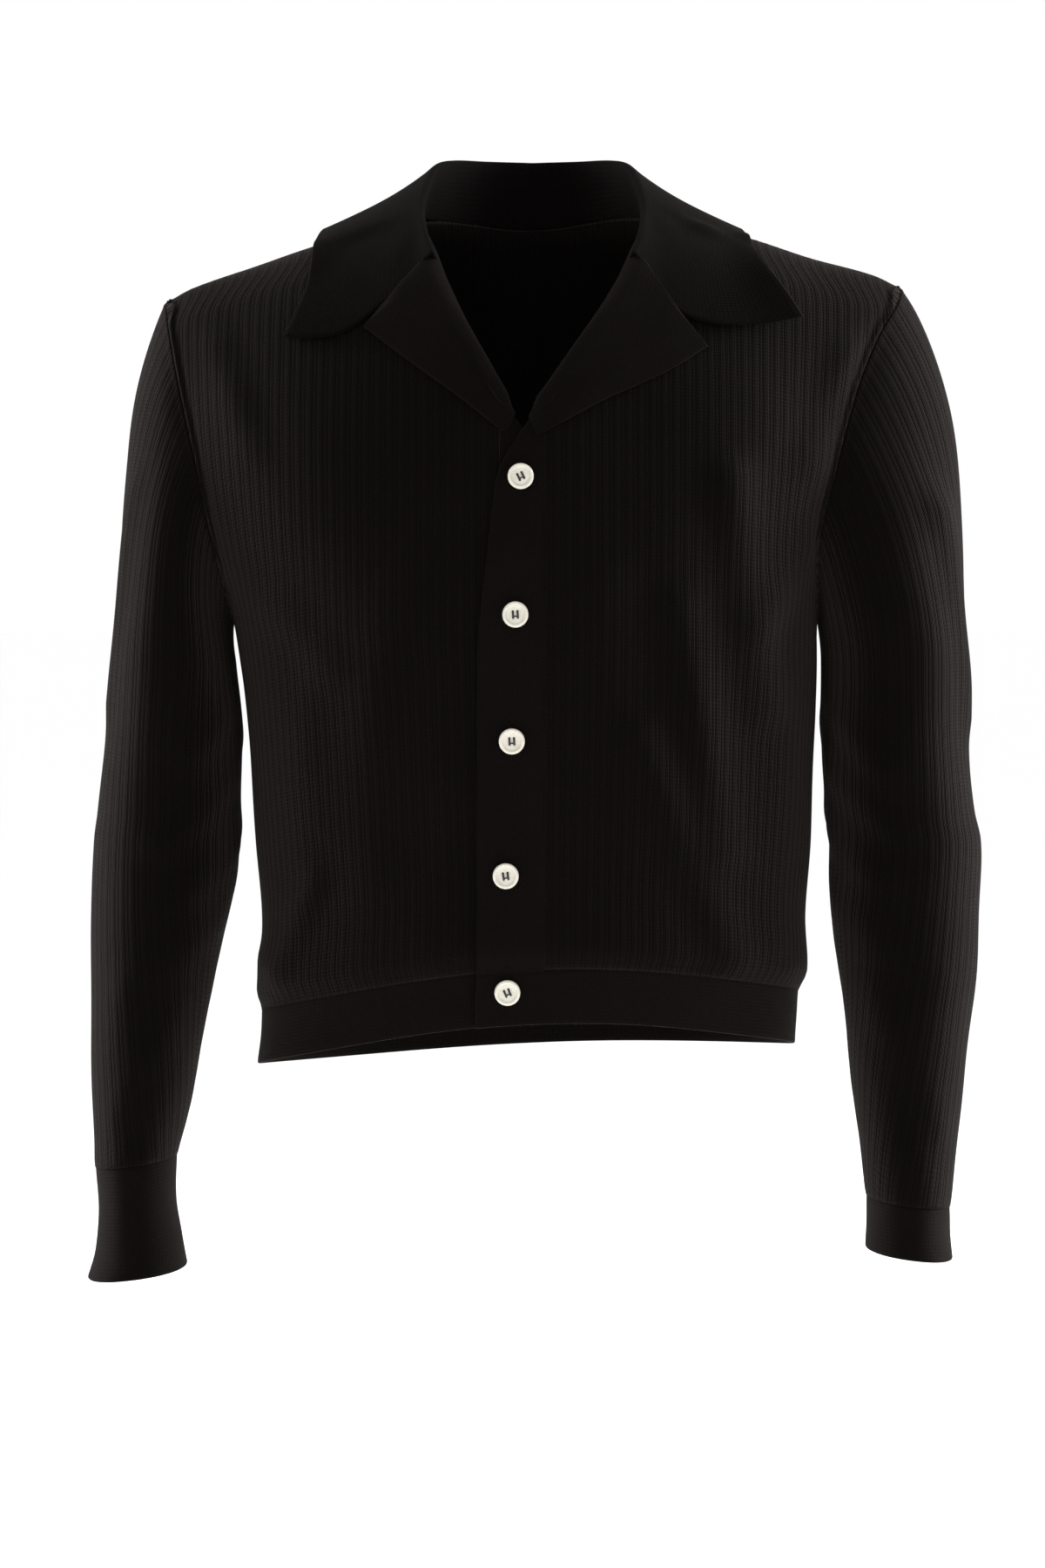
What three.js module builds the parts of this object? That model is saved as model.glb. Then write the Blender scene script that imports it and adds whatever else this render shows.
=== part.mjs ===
import * as THREE from 'three';
import { mergeVertices } from 'three/addons/utils/BufferGeometryUtils.js';

// Cropped knitted cardigan in its worn form, hollow, in millimetres.
// +X is the wearer's left, the front faces -Y and +Z is up. The origin is in the middle of the neck,
// at the height of the shoulder seams, where a wearer's shoulders hold the garment up.

// Cloth
const wall = 2;              // ribbed cloth
const plainWall = 2.2;       // plain knit of collar, lapels, bands and cuffs
const seamGap = 0.35;        // between sewn pieces
const ribRepeat = 6.9;       // one raised rib and its groove
const ribRelief = 0.7;
const liningStep = 16;       // spacing of the plain inner points
const overlapLift = plainWall + ribRelief + 0.5;   // of the left front over the right one

// Body, as half widths and depths at each height; above the underarm the half width is the armhole's
const underarmZ = -215;
const shoulderTipZ = -20;
const neckTopZ = 30;
const shoulderTip = 219;     // from the middle to the end of the shoulder seam
const rimTurn = 45;          // the armhole's edge turns square to the sleeve over this height
const outward = { side: 0.3, front: 50 };    // a direction that always points out of the body
const seamZ = -436;          // mean height of the waist seam
const squareness = 2.3;      // of every body section
const bodyRows = [
  { z: -470, left: 157, right: 165, front: 103, back: 99, reach: 1 },
  { z: -436, left: 159, right: 162, front: 106, back: 98, reach: 1 },
  { z: -424, left: 164, right: 165, front: 111, back: 103, reach: 1 },
  { z: -390, left: 163, right: 161, front: 112, back: 102, reach: 1 },
  { z: -343, left: 166, right: 165, front: 114, back: 102, reach: 1 },
  { z: -281, left: 168, right: 169, front: 118, back: 106, reach: 1 },
  { z: -215, left: 170, right: 178, front: 122, back: 113, reach: 1 },
  { z: -166, left: 168, right: 188, front: 122, back: 117, reach: 0.955 },
  { z: -126, left: 177, right: 196, front: 119, back: 119, reach: 0.91 },
  { z: -78, left: 190, right: 207, front: 114, back: 116, reach: 0.9 },
  { z: -45, left: 204, right: 214, front: 109, back: 110, reach: 0.9 },
  { z: -20, left: 218, right: 218, front: 105, back: 104, reach: 0.9 },
  { z: 30, left: 219, right: 219, front: 100, back: 98, reach: 0.9 },
];
const panelWidth = 250;      // half of the front's or back's way round at the underarm
const backEase = 9;          // the back is this much wider than the front at mid armhole
const shoulderRows = [
  { x: 0, left: 28, right: 28 },
  { x: 60, left: 26, right: 24 },
  { x: 123, left: 14, right: 10 },
  { x: 165, left: 1, right: -4 },
  { x: 202, left: -9, right: -17 },
  { x: 219, left: -17, right: -26 },
];
const shoulderRound = {      // how fast each face rounds over into the shoulder seam
  front: { drop: 170, power: 2 },
  back: { drop: 130, power: 2.5 },
};

// Neck: height of the front edge by its distance from the middle of the V, and of the back edge
const vShift = 6;            // the foot of the V lies this far to the wearer's right
const vTop = 60;
const neckHalf = 70;
const vRows = [
  { x: 0, z: -104 },
  { x: 5, z: -95 },
  { x: 15, z: -81 },
  { x: 34, z: -51 },
  { x: 55, z: -20 },
  { x: 62, z: -2 },
  { x: 70, z: 23 },
];
const backNeckDip = 8;

// Largest folds, each a soft ridge from one place on a front to another
const folds = [
  { side: 'left', x: 115, z: -133, toX: 136, toZ: -262, width: 13, height: 3.6 },
  { side: 'left', x: 160, z: -170, toX: 134, toZ: -214, width: 12, height: 3 },
  { side: 'left', x: 86, z: -206, toX: 111, toZ: -345, width: 12, height: 3.2 },
  { side: 'left', x: 64, z: -280, toX: 118, toZ: -408, width: 12, height: 2.6 },
  { side: 'right', x: 154, z: -416, toX: 128, toZ: -362, width: 9, height: 3 },
  { side: 'right', x: 134, z: -350, toX: 132, toZ: -250, width: 12, height: 1.8 },
];

const waistbandHeight = 30;
const waistbandGap = 0.5;    // below the body's edge
const dipFade = 170;         // the dip of the waist seam fades out within this height
const overlapFade = 64;      // and the lift of the left front within this width

// Front bands: the wearer's left one lies on top and carries the free edge
const bandSeamX = 6;
const underBandX = -17;
const openingRows = [
  { z: -470, x: -32.5 },
  { z: -420, x: -31 },
  { z: -233, x: -30.5 },
  { z: -203, x: -28.5 },
  { z: -173, x: -25 },
  { z: -140, x: -21.5 },
  { z: -123, x: -18 },
  { z: -105, x: -7.5 },
];

// Buttons
const buttonRadius = 7.5;
const buttonHeight = 3.2;
const buttonStand = 0.65;    // from the band's cloth to the back of a button
const buttonRows = [         // heights are those before the dip of the waist seam
  { x: -7, z: -130, turn: 25 },
  { x: -10, z: -208, turn: 4 },
  { x: -12, z: -281, turn: 3 },
  { x: -15.5, z: -373, turn: 8 },
  { x: -14.6, z: -447.5, turn: 22 },
];

// Sleeves, level sections from the cuff seam up to the underarm
const sleeveRows = {
  left: [
    { z: -560, outer: 248, inner: 198, mid: -32, deep: 38 },
    { z: -495, outer: 256, inner: 191, mid: -21, deep: 43 },
    { z: -430, outer: 263.5, inner: 184, mid: -10, deep: 49 },
    { z: -374, outer: 267.5, inner: 177.5, mid: -1, deep: 54 },
    { z: -345, outer: 267.5, inner: 177, mid: 2, deep: 56 },
    { z: -328, outer: 264, inner: 176, mid: 3, deep: 57 },
    { z: -281, outer: 260, inner: 173, mid: 3, deep: 60 },
    { z: -240, outer: 258, inner: 173, mid: 2, deep: 61 },
  ],
  right: [
    { z: -537, outer: 260, inner: 211, mid: -28, deep: 39 },
    { z: -495, outer: 262, inner: 202, mid: -21, deep: 43 },
    { z: -430, outer: 263.5, inner: 190, mid: -10, deep: 49 },
    { z: -374, outer: 263.5, inner: 178, mid: -1, deep: 54 },
    { z: -345, outer: 261.5, inner: 175.5, mid: 2, deep: 56 },
    { z: -328, outer: 259, inner: 175, mid: 3, deep: 57 },
    { z: -281, outer: 255, inner: 173.5, mid: 3, deep: 60 },
    { z: -240, outer: 250, inner: 177, mid: 2, deep: 61 },
  ],
};
const cuffRows = {
  left: [
    { z: -590, outer: 249, inner: 197.5, mid: -37, deep: 37 },
    { z: -576, outer: 248, inner: 198, mid: -35, deep: 36.5 },
    { z: -560.5, outer: 247.5, inner: 198.5, mid: -32, deep: 37.5 },
  ],
  right: [
    { z: -601, outer: 263.5, inner: 205, mid: -39, deep: 40 },
    { z: -585, outer: 259, inner: 208, mid: -36, deep: 37.5 },
    { z: -565, outer: 257.5, inner: 211.5, mid: -33, deep: 36 },
    { z: -537.5, outer: 259.5, inner: 211.5, mid: -28, deep: 38.5 },
  ],
};
const cuffRise = { left: 6, right: 7 };      // the inner side of a cuff lies this much higher
const capFlare = { left: 0.62, right: 0.42 };  // how far the sleeve head leans out at the shoulder
const headLean = { side: 0.45, under: 0.12, down: 0.85 };      // and elsewhere round the armhole
const armholeGap = { out: 0.85, down: 0.35 };
const sleeveSquareness = 2.2;

// Collar: the roll is its top fold and the edge that of the fall, from the middle of the back forwards
const collarRows = [
  { at: 0, rollX: 0, rollY: 60, rollZ: 61, edgeX: 0, edgeY: 92, edgeZ: -12 },
  { at: 0.16, rollX: 27, rollY: 56, rollZ: 61.5, edgeX: 50, edgeY: 88, edgeZ: -12 },
  { at: 0.32, rollX: 48, rollY: 43, rollZ: 61.5, edgeX: 91, edgeY: 73, edgeZ: -3 },
  { at: 0.47, rollX: 58, rollY: 25, rollZ: 58, edgeX: 115, edgeY: 40, edgeZ: 12 },
  { at: 0.62, rollX: 63, rollY: 4, rollZ: 47, edgeX: 123, edgeY: 4, edgeZ: 19 },
  { at: 0.76, rollX: 66, rollY: -20, rollZ: 31, edgeX: 128, edgeY: -30, edgeZ: 9 },
  { at: 0.88, rollX: 64, rollY: -42, rollZ: 17, edgeX: 134, edgeY: -52, edgeZ: -10 },
  { at: 1, rollX: 59, rollY: -60, rollZ: 2, edgeX: 150, edgeY: -66, edgeZ: -40 },
];
// Front end of the collar, from the roll down the gorge to the notch and along to the tip
const collarEndRows = {
  left: [
    { at: 0, x: 59.5, z: 2.5 },
    { at: 0.3, x: 83.5, z: -32 },
    { at: 0.42, x: 94, z: -37 },
    { at: 0.6, x: 110, z: -40 },
    { at: 0.8, x: 132, z: -39.5 },
    { at: 1, x: 156, z: -35 },
  ],
  right: [
    { at: 0, x: 58.5, z: 2.5 },
    { at: 0.3, x: 83, z: -24.5 },
    { at: 0.48, x: 101, z: -40 },
    { at: 0.65, x: 115, z: -46 },
    { at: 0.82, x: 129, z: -48 },
    { at: 1, x: 144, z: -47 },
  ],
};
const endBlend = 0.26;       // share of the collar over which its front end takes that outline
const collarClear = 1.6;     // least space between the fall and the cloth below it
const rollDrop = 3;          // the roll rounds over within this height
const rollEase = 0.4;        // its inner face keeps this far behind the outer one
const fallStep = 0.05;       // share of the fall over which its slope is taken
const collarSteps = 13;      // from the middle of the back to each front end
const standRows = [
  { at: 0, x: 0, y: 52, z: 18.8 },
  { at: 0.2, x: 32, y: 46, z: 20.9 },
  { at: 0.45, x: 60, y: 24, z: 25.2 },
  { at: 0.62, x: 67, y: 3, z: 26 },
  { at: 0.8, x: 65, y: -24, z: 16 },
  { at: 1, x: 56, y: -52, z: -1 },
];

// Lapels, from the foot of the V up: the roll lies on the V's edge
const lapelRows = {
  left: [
    { at: 0, rollX: -2, edgeX: 2, edgeZ: -107 },
    { at: 0.3, rollX: 15, edgeX: 40, edgeZ: -86 },
    { at: 0.65, rollX: 40, edgeX: 78, edgeZ: -68 },
    { at: 1, rollX: 59, edgeX: 100, edgeZ: -54 },
  ],
  right: [
    { at: 0, rollX: -10.5, edgeX: -15, edgeZ: -105 },
    { at: 0.3, rollX: -25, edgeX: -40, edgeZ: -85 },
    { at: 0.65, rollX: -43, edgeX: -69, edgeZ: -64 },
    { at: 1, rollX: -58, edgeX: -97, edgeZ: -43 },
  ],
};
// Section of a lapel over the V's edge: distance past the edge and height over the front's cloth
const foldRows = [
  { reach: 0.8, over: -6, under: -3.9, underReach: 0.8 },
  { reach: -2.6, over: -5, under: -3.2, underReach: -1.2 },
  { reach: -4.2, over: -0.8, under: -0.8, underReach: -2 },
  { reach: -2.6, over: 3.2, under: 1.4, underReach: -1.2 },
  { reach: 3, over: 4.6, under: 2.2, underReach: 3 },
];
const wrapFade = 0.45;       // from here up a lapel reaches less far round the front's edge
const wrapLoss = { turn: 0.9, under: 4, over: 1.2 };
const lapelBelly = 2.2;      // the middle of a lapel stands this much off the front
const lapelClear = ribRelief + 0.5;

// Finish
const knitBlack = { color: 0x0d0b0c, roughness: 0.92, metalness: 0 };
const buttonPearl = { color: 0xddd8c6, roughness: 0.3, metalness: 0 };

// Small sums

const clamp = (value, low, high) => Math.min(Math.max(value, low), high);
const mix = (a, b, t) => a + (b - a) * t;
const smooth = (t) => {
  const s = clamp(t, 0, 1);
  return s * s * (3 - 2 * s);
};
const sign = (side) => (side === 'left' ? 1 : -1);
const vec = (x, y, z) => new THREE.Vector3(x, y, z);
const spread = (count) => Array.from({ length: count + 1 }, (_, i) => i / count);

function hermite(a, b, slopeA, slopeB, t) {
  const t2 = t * t;
  const t3 = t2 * t;
  return (2 * t3 - 3 * t2 + 1) * a + (t3 - 2 * t2 + t) * slopeA
    + (3 * t2 - 2 * t3) * b + (t3 - t2) * slopeB;
}

// Smooth value of one column of a table at a place along its key column
function read(rows, key, at, column) {
  const last = rows.length - 1;
  let i = 0;
  while (i < last - 1 && at > rows[i + 1][key]) i += 1;
  const slope = (k) => {
    const a = rows[Math.max(k - 1, 0)];
    const b = rows[Math.min(k + 1, last)];
    return (b[column] - a[column]) / (b[key] - a[key]);
  };
  const span = rows[i + 1][key] - rows[i][key];
  const t = clamp((at - rows[i][key]) / span, 0, 1);
  return hermite(rows[i][column], rows[i + 1][column], slope(i) * span, slope(i + 1) * span, t);
}

// Walls: a grid of outer points over a coarser grid of inner points, closed along every rim

// Triangles between two lines of points, each given as its list of vertex numbers
function zip(a, b, faces) {
  let i = 0;
  let j = 0;
  while (i < a.length - 1 || j < b.length - 1) {
    const nextA = (i + 1) / (a.length - 1);
    const nextB = (j + 1) / (b.length - 1);
    if (j === b.length - 1 || (i < a.length - 1 && nextA <= nextB)) {
      faces.push(a[i], a[i + 1], b[j]);
      i += 1;
    } else {
      faces.push(a[i], b[j + 1], b[j]);
      j += 1;
    }
  }
}

function wallGeometry(outer, inner, isTube) {
  const points = [];
  const number = (grid) => grid.map((row) => row.map((p) => points.push(p) - 1));
  const ring = (line) => (isTube ? [...line, line[0]] : line);
  const out = number(outer).map(ring);
  const back = number(inner).map(ring);
  const faces = [];
  const cover = (grid, flip) => {
    for (let r = 0; r < grid.length - 1; r += 1) {
      for (let c = 0; c < grid[r].length - 1; c += 1) {
        const [p, q, s, t] = [grid[r][c], grid[r][c + 1], grid[r + 1][c + 1], grid[r + 1][c]];
        faces.push(...(flip ? [p, s, q, p, t, s] : [p, q, s, p, s, t]));
      }
    }
  };
  cover(out, false);
  cover(back, true);
  const column = (grid, c) => grid.map((row) => row[c]);
  const lastColumn = (grid) => column(grid, grid[0].length - 1);
  zip(back[0], out[0], faces);
  zip(out[out.length - 1], back[back.length - 1], faces);
  if (!isTube) {
    zip(column(out, 0), column(back, 0), faces);
    zip(lastColumn(back), lastColumn(out), faces);
  }
  let volume = 0;
  for (let f = 0; f < faces.length; f += 3) {
    const [a, b, c] = [points[faces[f]], points[faces[f + 1]], points[faces[f + 2]]];
    volume += a.dot(b.clone().cross(c));
  }
  if (volume < 0) faces.reverse();
  const geometry = new THREE.BufferGeometry();
  geometry.setAttribute('position', new THREE.Float32BufferAttribute(points.flatMap((p) => p.toArray()), 3));
  geometry.setIndex(faces);
  geometry.computeVertexNormals();
  return geometry;
}

// Body

const edgeAt = (z, side, face) => {
  const rise = clamp((z - underarmZ) / (shoulderTipZ - underarmZ), 0, 1);
  const ease = face === 'back' ? backEase * Math.sin(Math.PI * rise) : 0;
  return read(bodyRows, 'z', z, side) + ease;
};

function depthAt(x, z, side, face) {
  const across = Math.min((x / edgeAt(z, side, face)) * read(bodyRows, 'z', z, 'reach'), 1);
  const round = (1 - across ** squareness) ** (1 / squareness);
  const { drop, power } = shoulderRound[face];
  const below = clamp((read(shoulderRows, 'x', x, side) - z) / drop, 0, 1);
  const fall = (1 - (1 - below) ** power) ** (1 / power);
  return read(bodyRows, 'z', z, face) * round * fall;
}

// Distance from the middle at which a section has run a share of its way to the side or armhole
function xAtShare(share, z, side, face) {
  const steps = 20;
  const xs = spread(steps).map((t) => edgeAt(z, side, face) * Math.sin((Math.PI / 2) * t));
  const ys = xs.map((x) => depthAt(x, z, side, face));
  const run = [0];
  for (let i = 1; i <= steps; i += 1) {
    run.push(run[i - 1] + Math.hypot(xs[i] - xs[i - 1], ys[i] - ys[i - 1]));
  }
  const goal = share * run[steps];
  let i = 1;
  while (i < steps && run[i] < goal) i += 1;
  return mix(xs[i - 1], xs[i], clamp((goal - run[i - 1]) / (run[i] - run[i - 1]), 0, 1));
}

// Height of the front's and back's top edge at a distance from the middle
function topAt(x, side, face) {
  const shoulder = read(shoulderRows, 'x', x, side);
  if (face === 'back') return shoulder - backNeckDip * (1 - smooth(x / neckHalf));
  const fromV = x + sign(side) * vShift * (1 - Math.min(x / vTop, 1));
  return x >= neckHalf ? shoulder : Math.min(shoulder, read(vRows, 'x', Math.abs(fromV), 'z'));
}

const seamTurn = (share, side, face) => {
  const quarter = (Math.PI / 2) * share;
  return sign(side) * (face === 'front' ? quarter : Math.PI - quarter);
};
const seamHeight = (turn) => seamZ + 16 * Math.cos(turn) + 6 * Math.sin(turn) + 6 * Math.cos(2 * turn);

// Height lost to the dip of the waist seam, which fades out up the body
const dipAt = (z, turn) => (seamHeight(turn) - seamZ) * (1 - smooth((z - seamZ) / dipFade));

function foldAt(x, z, side) {
  return folds.filter((fold) => fold.side === side).reduce((sum, fold) => {
    const along = vec(fold.toX - fold.x, 0, fold.toZ - fold.z);
    const from = vec(x - fold.x, 0, z - fold.z);
    const run = from.dot(along) / along.lengthSq();
    const off = from.sub(along.multiplyScalar(clamp(run, 0, 1))).length();
    return sum + fold.height * Math.exp(-((off / fold.width) ** 2));
  }, 0);
}

// The left front rises onto the right one towards the overlap
const liftAt = (x, side) => (side === 'left' ? overlapLift * (1 - smooth((x - bandSeamX) / overlapFade)) : 0);

// Point of a body face at a share of its way round and a height, before its dip
function bodyPoint(share, z, side, face) {
  const x = xAtShare(share, z, side, face);
  const out = face === 'front' ? foldAt(x, z, side) + liftAt(x, side) : 0;
  const depth = depthAt(x, z, side, face) + out * Math.min(1, (1 - share) * 8);
  const towards = face === 'front' ? -1 : 1;
  return vec(sign(side) * x, towards * depth, z + dipAt(z, seamTurn(share, side, face)));
}

// Heights of the rows: the lower ones are level, the upper ones rise to each column's own top
const lowerRows = [-436, -424, -380, -300, -215];
const upperShares = [0.06, 0.22, 0.5, 0.8, 0.94, 1];
function rowHeights(share, side, face) {
  let top = 0;
  for (let pass = 0; pass < 8; pass += 1) {
    top = topAt(xAtShare(share, Math.min(top, neckTopZ), side, face), side, face);
  }
  return [...lowerRows, ...upperShares.map((rise) => mix(underarmZ, top, rise))];
}

const armholeCentre = (side) => vec(sign(side) * 198, 0, -120);

// Where the inner point of a rim lies from its outer point: towards the middle of the armhole,
// turning square to the side as the seam reaches the underarm
function armholeRim(point, side, towardsSleeve) {
  const inward = armholeCentre(side).sub(point).setX(0).normalize();
  const share = smooth((point.z - underarmZ) / rimTurn);
  const level = vec(sign(side) * towardsSleeve, 0, 0);
  return level.lerp(inward, share).normalize();
}

function bodyPanel(side, face, fromShare, toShare) {
  const ribs = Math.round(((toShare - fromShare) * panelWidth) / ribRepeat);
  const linings = Math.round(((toShare - fromShare) * panelWidth) / liningStep);
  const heights = new Map();
  const heightsAt = (share) => {
    if (!heights.has(share)) heights.set(share, rowHeights(share, side, face));
    return heights.get(share);
  };
  const lastRow = lowerRows.length + upperShares.length - 1;
  const towards = face === 'front' ? -1 : 1;
  const place = (share, row, out) => {
    const z = heightsAt(share)[row];
    const point = bodyPoint(share, z, side, face);
    const step = 0.01;
    const beside = share > 0.5 ? -step : step;
    const across = bodyPoint(share + beside, z, side, face).sub(point).multiplyScalar(1 / beside);
    const above = row === lastRow ? -1 : 1;
    const along = bodyPoint(share, z + above, side, face).sub(point).multiplyScalar(above);
    let away = across.cross(along).normalize();
    if (away.dot(vec(point.x * outward.side, towards * outward.front, 0)) < 0) away.negate();
    if (row === lastRow && out < 0) away = vec(0, 0, 1);
    if (share === 1) {
      away = vec(sign(side), 0, 0);
      if (z > underarmZ && out < 0) away = armholeRim(point, side, -1).negate();
      point.y += towards * (seamGap / 2) * (1 - smooth((z - underarmZ) / 30));
    }
    if (row === lastRow) point.y = towards * Math.max(Math.abs(point.y), seamGap / 2);
    return point.addScaledVector(away, out);
  };
  const grid = (count, depthOf) => spread(lastRow).map((_, row) => spread(count).map((t, column) => (
    place(mix(fromShare, toShare, t), row, depthOf(row, column))
  )));
  const outer = grid(ribs * 2, (row, column) => {
    const isRim = row === 0 || row >= lastRow - 1 || column === 0 || column === ribs * 2;
    return !isRim && column % 2 === 1 ? ribRelief : 0;
  });
  return { outer, inner: grid(linings, () => -wall) };
}

const clothMesh = (name, geometry, finish = knitBlack) => {
  const mesh = new THREE.Mesh(geometry, new THREE.MeshStandardMaterial(finish));
  mesh.name = name;
  return mesh;
};

// Share of the way to the side at which a section reaches a distance from the middle
function shareAtX(goal, z, side, face) {
  let [low, high] = [0, 1];
  for (let pass = 0; pass < 16; pass += 1) {
    const middle = (low + high) / 2;
    if (xAtShare(middle, z, side, face) < goal) low = middle;
    else high = middle;
  }
  return (low + high) / 2;
}

const edgeShare = {          // of the ribbed fronts' edges towards the middle
  left: shareAtX(bandSeamX, seamZ, 'left', 'front'),
  right: shareAtX(-underBandX, seamZ, 'right', 'front'),
};

const fronts = ['left', 'right'].map((side) => {
  const { outer, inner } = bodyPanel(side, 'front', edgeShare[side], 1);
  return clothMesh(`front_${side}`, wallGeometry(outer, inner, false));
});

// The back is one piece: its right half's columns run on into its left half's
const backHalves = ['right', 'left'].map((side) => bodyPanel(side, 'back', 0, 1));
const joinHalves = (key) => backHalves[0][key].map((row, r) => (
  [...row.slice().reverse(), ...backHalves[1][key][r].slice(1)]
));
const back = clothMesh('back', wallGeometry(joinHalves('outer'), joinHalves('inner'), false));

// Waistband: one folded strip that runs on from the body, its left end lapped over its right one

// Point on the fronts' own surface at a signed distance from the middle, moved out square to it
function frontAt(x, z, out) {
  const surface = (px, pz) => {
    const side = px > 0 ? 'left' : 'right';
    const half = Math.abs(px);
    const share = shareAtX(half, pz, side, 'front');
    return vec(px, -depthAt(half, pz, side, 'front'), pz + dipAt(pz, seamTurn(share, side, 'front')));
  };
  const point = surface(x, z);
  const across = surface(x + 1, z).sub(surface(x - 1, z));
  const along = surface(x, z + 1).sub(surface(x, z - 1));
  return point.addScaledVector(across.cross(along).normalize(), out);
}

function waistbandPoint(station, z, out) {
  if (station.x !== undefined) return frontAt(station.x, z, station.lift + out);
  const { share, side, face } = station;
  const point = bodyPoint(share, z, side, face);
  const centre = vec(0, 0, point.z);
  return point.addScaledVector(point.clone().sub(centre).setX(point.x * 0.7).normalize(), out);
}

const quarterSteps = spread(12).slice(0, -1);
const waistStations = [
  ...[5, -4, -11].map((x) => ({ x, lift: 0 })),
  ...quarterSteps.slice(2).map((share) => ({ share, side: 'right', face: 'front' })),
  ...quarterSteps.map((t) => ({ share: 1 - t, side: 'right', face: 'back' })),
  ...quarterSteps.map((share) => ({ share, side: 'left', face: 'back' })),
  ...quarterSteps.slice(0, -1).map((t) => ({ share: 1 - t, side: 'left', face: 'front' })),
  ...[6, -6, -19].map((x) => ({ x, lift: overlapLift })),
];
const waistbandRows = spread(3).map((t) => seamZ - waistbandGap - t * waistbandHeight);
const freeEnd = (z) => ({ x: read(openingRows, 'z', z, 'x'), lift: overlapLift });
const waistGrid = (out) => waistbandRows.map((z) => (
  [...waistStations, freeEnd(z)].map((station) => waistbandPoint(station, z, out))
));
const waistband = clothMesh('waistband', wallGeometry(waistGrid(0), waistGrid(-plainWall), false));

// Front bands in plain knit, from the waist seam to the V

const bandHeights = [-436, -424, -402, -380, -340, -300, -257, -215, -180, -150, -125];
function plainStrip(columns, place) {
  const ups = [...bandHeights.map((z) => (z - seamZ) / (openingRows[openingRows.length - 1].z - seamZ)), 1];
  const grid = (out) => ups.map((v) => spread(columns).map((u) => place(u, v, out)));
  return { outer: grid(0), inner: grid(-plainWall) };
}

const bandSide = (z, side) => sign(side) * (xAtShare(edgeShare[side], z, side, 'front') - seamGap);
const bandTop = { left: topAt(bandSeamX, 'left', 'front'), foot: openingRows[openingRows.length - 1].z };
const overBand = plainStrip(4, (u, v, out) => {
  const [freeZ, seamSideZ] = [mix(seamZ, bandTop.foot, v), mix(seamZ, bandTop.left, v)];
  const x = mix(read(openingRows, 'z', freeZ, 'x'), bandSide(seamSideZ, 'left'), u);
  return frontAt(x, mix(freeZ, seamSideZ, u), overlapLift + out);
});
const underBandTop = { free: -118, seam: topAt(-underBandX, 'right', 'front') };
const underBand = plainStrip(2, (u, v, out) => {
  const [seamSideZ, freeZ] = [mix(seamZ, underBandTop.seam, v), mix(seamZ, underBandTop.free, v)];
  const x = mix(bandSide(seamSideZ, 'right'), bandSeamX - 1, u);
  return frontAt(x, mix(seamSideZ, freeZ, u), out);
});
const bands = [
  clothMesh('band_left', wallGeometry(overBand.outer, overBand.inner, false)),
  clothMesh('band_right', wallGeometry(underBand.outer, underBand.inner, false)),
];

// Lapels, folded over the V's edge and laid on the fronts

function lapelGrid(side, isOuter) {
  const rows = spread(9);
  const flapShares = [0.3, 0.65, 1];
  return rows.map((at) => {
    const row = {};
    ['rollX', 'edgeX', 'edgeZ'].forEach((key) => {
      row[key] = read(lapelRows[side], 'at', at, key);
    });
    row.rollZ = topAt(Math.abs(row.rollX), row.rollX > 0 ? 'left' : 'right', 'front');
    const across = vec(row.edgeX - row.rollX, 0, row.edgeZ - row.rollZ);
    const width = across.length();
    across.normalize();
    const place = (reach, height) => {
      const [x, z] = [row.rollX + across.x * reach, row.rollZ + across.z * reach];
      return frontAt(x, z, height + liftAt(x, side));
    };
    const wrap = 1 - wrapLoss.turn * smooth((at - wrapFade) / (1 - wrapFade));
    const foldPart = foldRows.map(({ reach, over, under, underReach }) => {
      const height = isOuter ? over : under;
      const short = (1 - wrap) * (height < 0 ? wrapLoss.under : wrapLoss.over);
      return place((isOuter ? reach : underReach) - short, height < 0 ? height * wrap : height);
    });
    const flapPart = flapShares.map((share) => {
      const stand = lapelClear + lapelBelly * Math.sin(Math.PI * share) * Math.min(width / 40, 1);
      return place(width * share, stand + (isOuter ? plainWall : 0));
    });
    return [...foldPart, ...flapPart];
  });
}
const lapels = ['left', 'right'].map((side) => (
  clothMesh(`lapel_${side}`, wallGeometry(lapelGrid(side, true), lapelGrid(side, false), false))
));

// Collar: a stand that rises from the neck edge, the roll, and a fall that lies on the shoulders

// Moves a point out until it is clear of the body by a distance
function clearOfBody(point, clear) {
  const moved = point.clone();
  for (let pass = 0; pass < 4; pass += 1) {
    const side = moved.x > 0 ? 'left' : 'right';
    const face = moved.y < 0 ? 'front' : 'back';
    const half = Math.abs(moved.x);
    const depth = (x, z) => depthAt(Math.abs(x), z, side, face);
    const slopeX = (depth(half + 1, moved.z) - depth(half - 1, moved.z)) / 2;
    const slopeZ = (depth(half, moved.z + 1) - depth(half, moved.z - 1)) / 2;
    const steep = Math.hypot(1, slopeX, slopeZ);
    const over = Math.max(moved.z - read(shoulderRows, 'x', Math.min(half, shoulderTip), side), 0);
    const apart = Math.hypot((Math.abs(moved.y) - depth(half, moved.z)) / steep, over);
    const isInside = Math.abs(moved.y) < depth(half, moved.z);
    const short = clear - (isInside ? -apart : apart);
    if (short > 0) {
      const away = vec(-slopeX * Math.sign(moved.x), face === 'front' ? -1 : 1, -slopeZ);
      moved.addScaledVector(away.normalize(), short);
    }
  }
  return moved;
}

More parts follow.
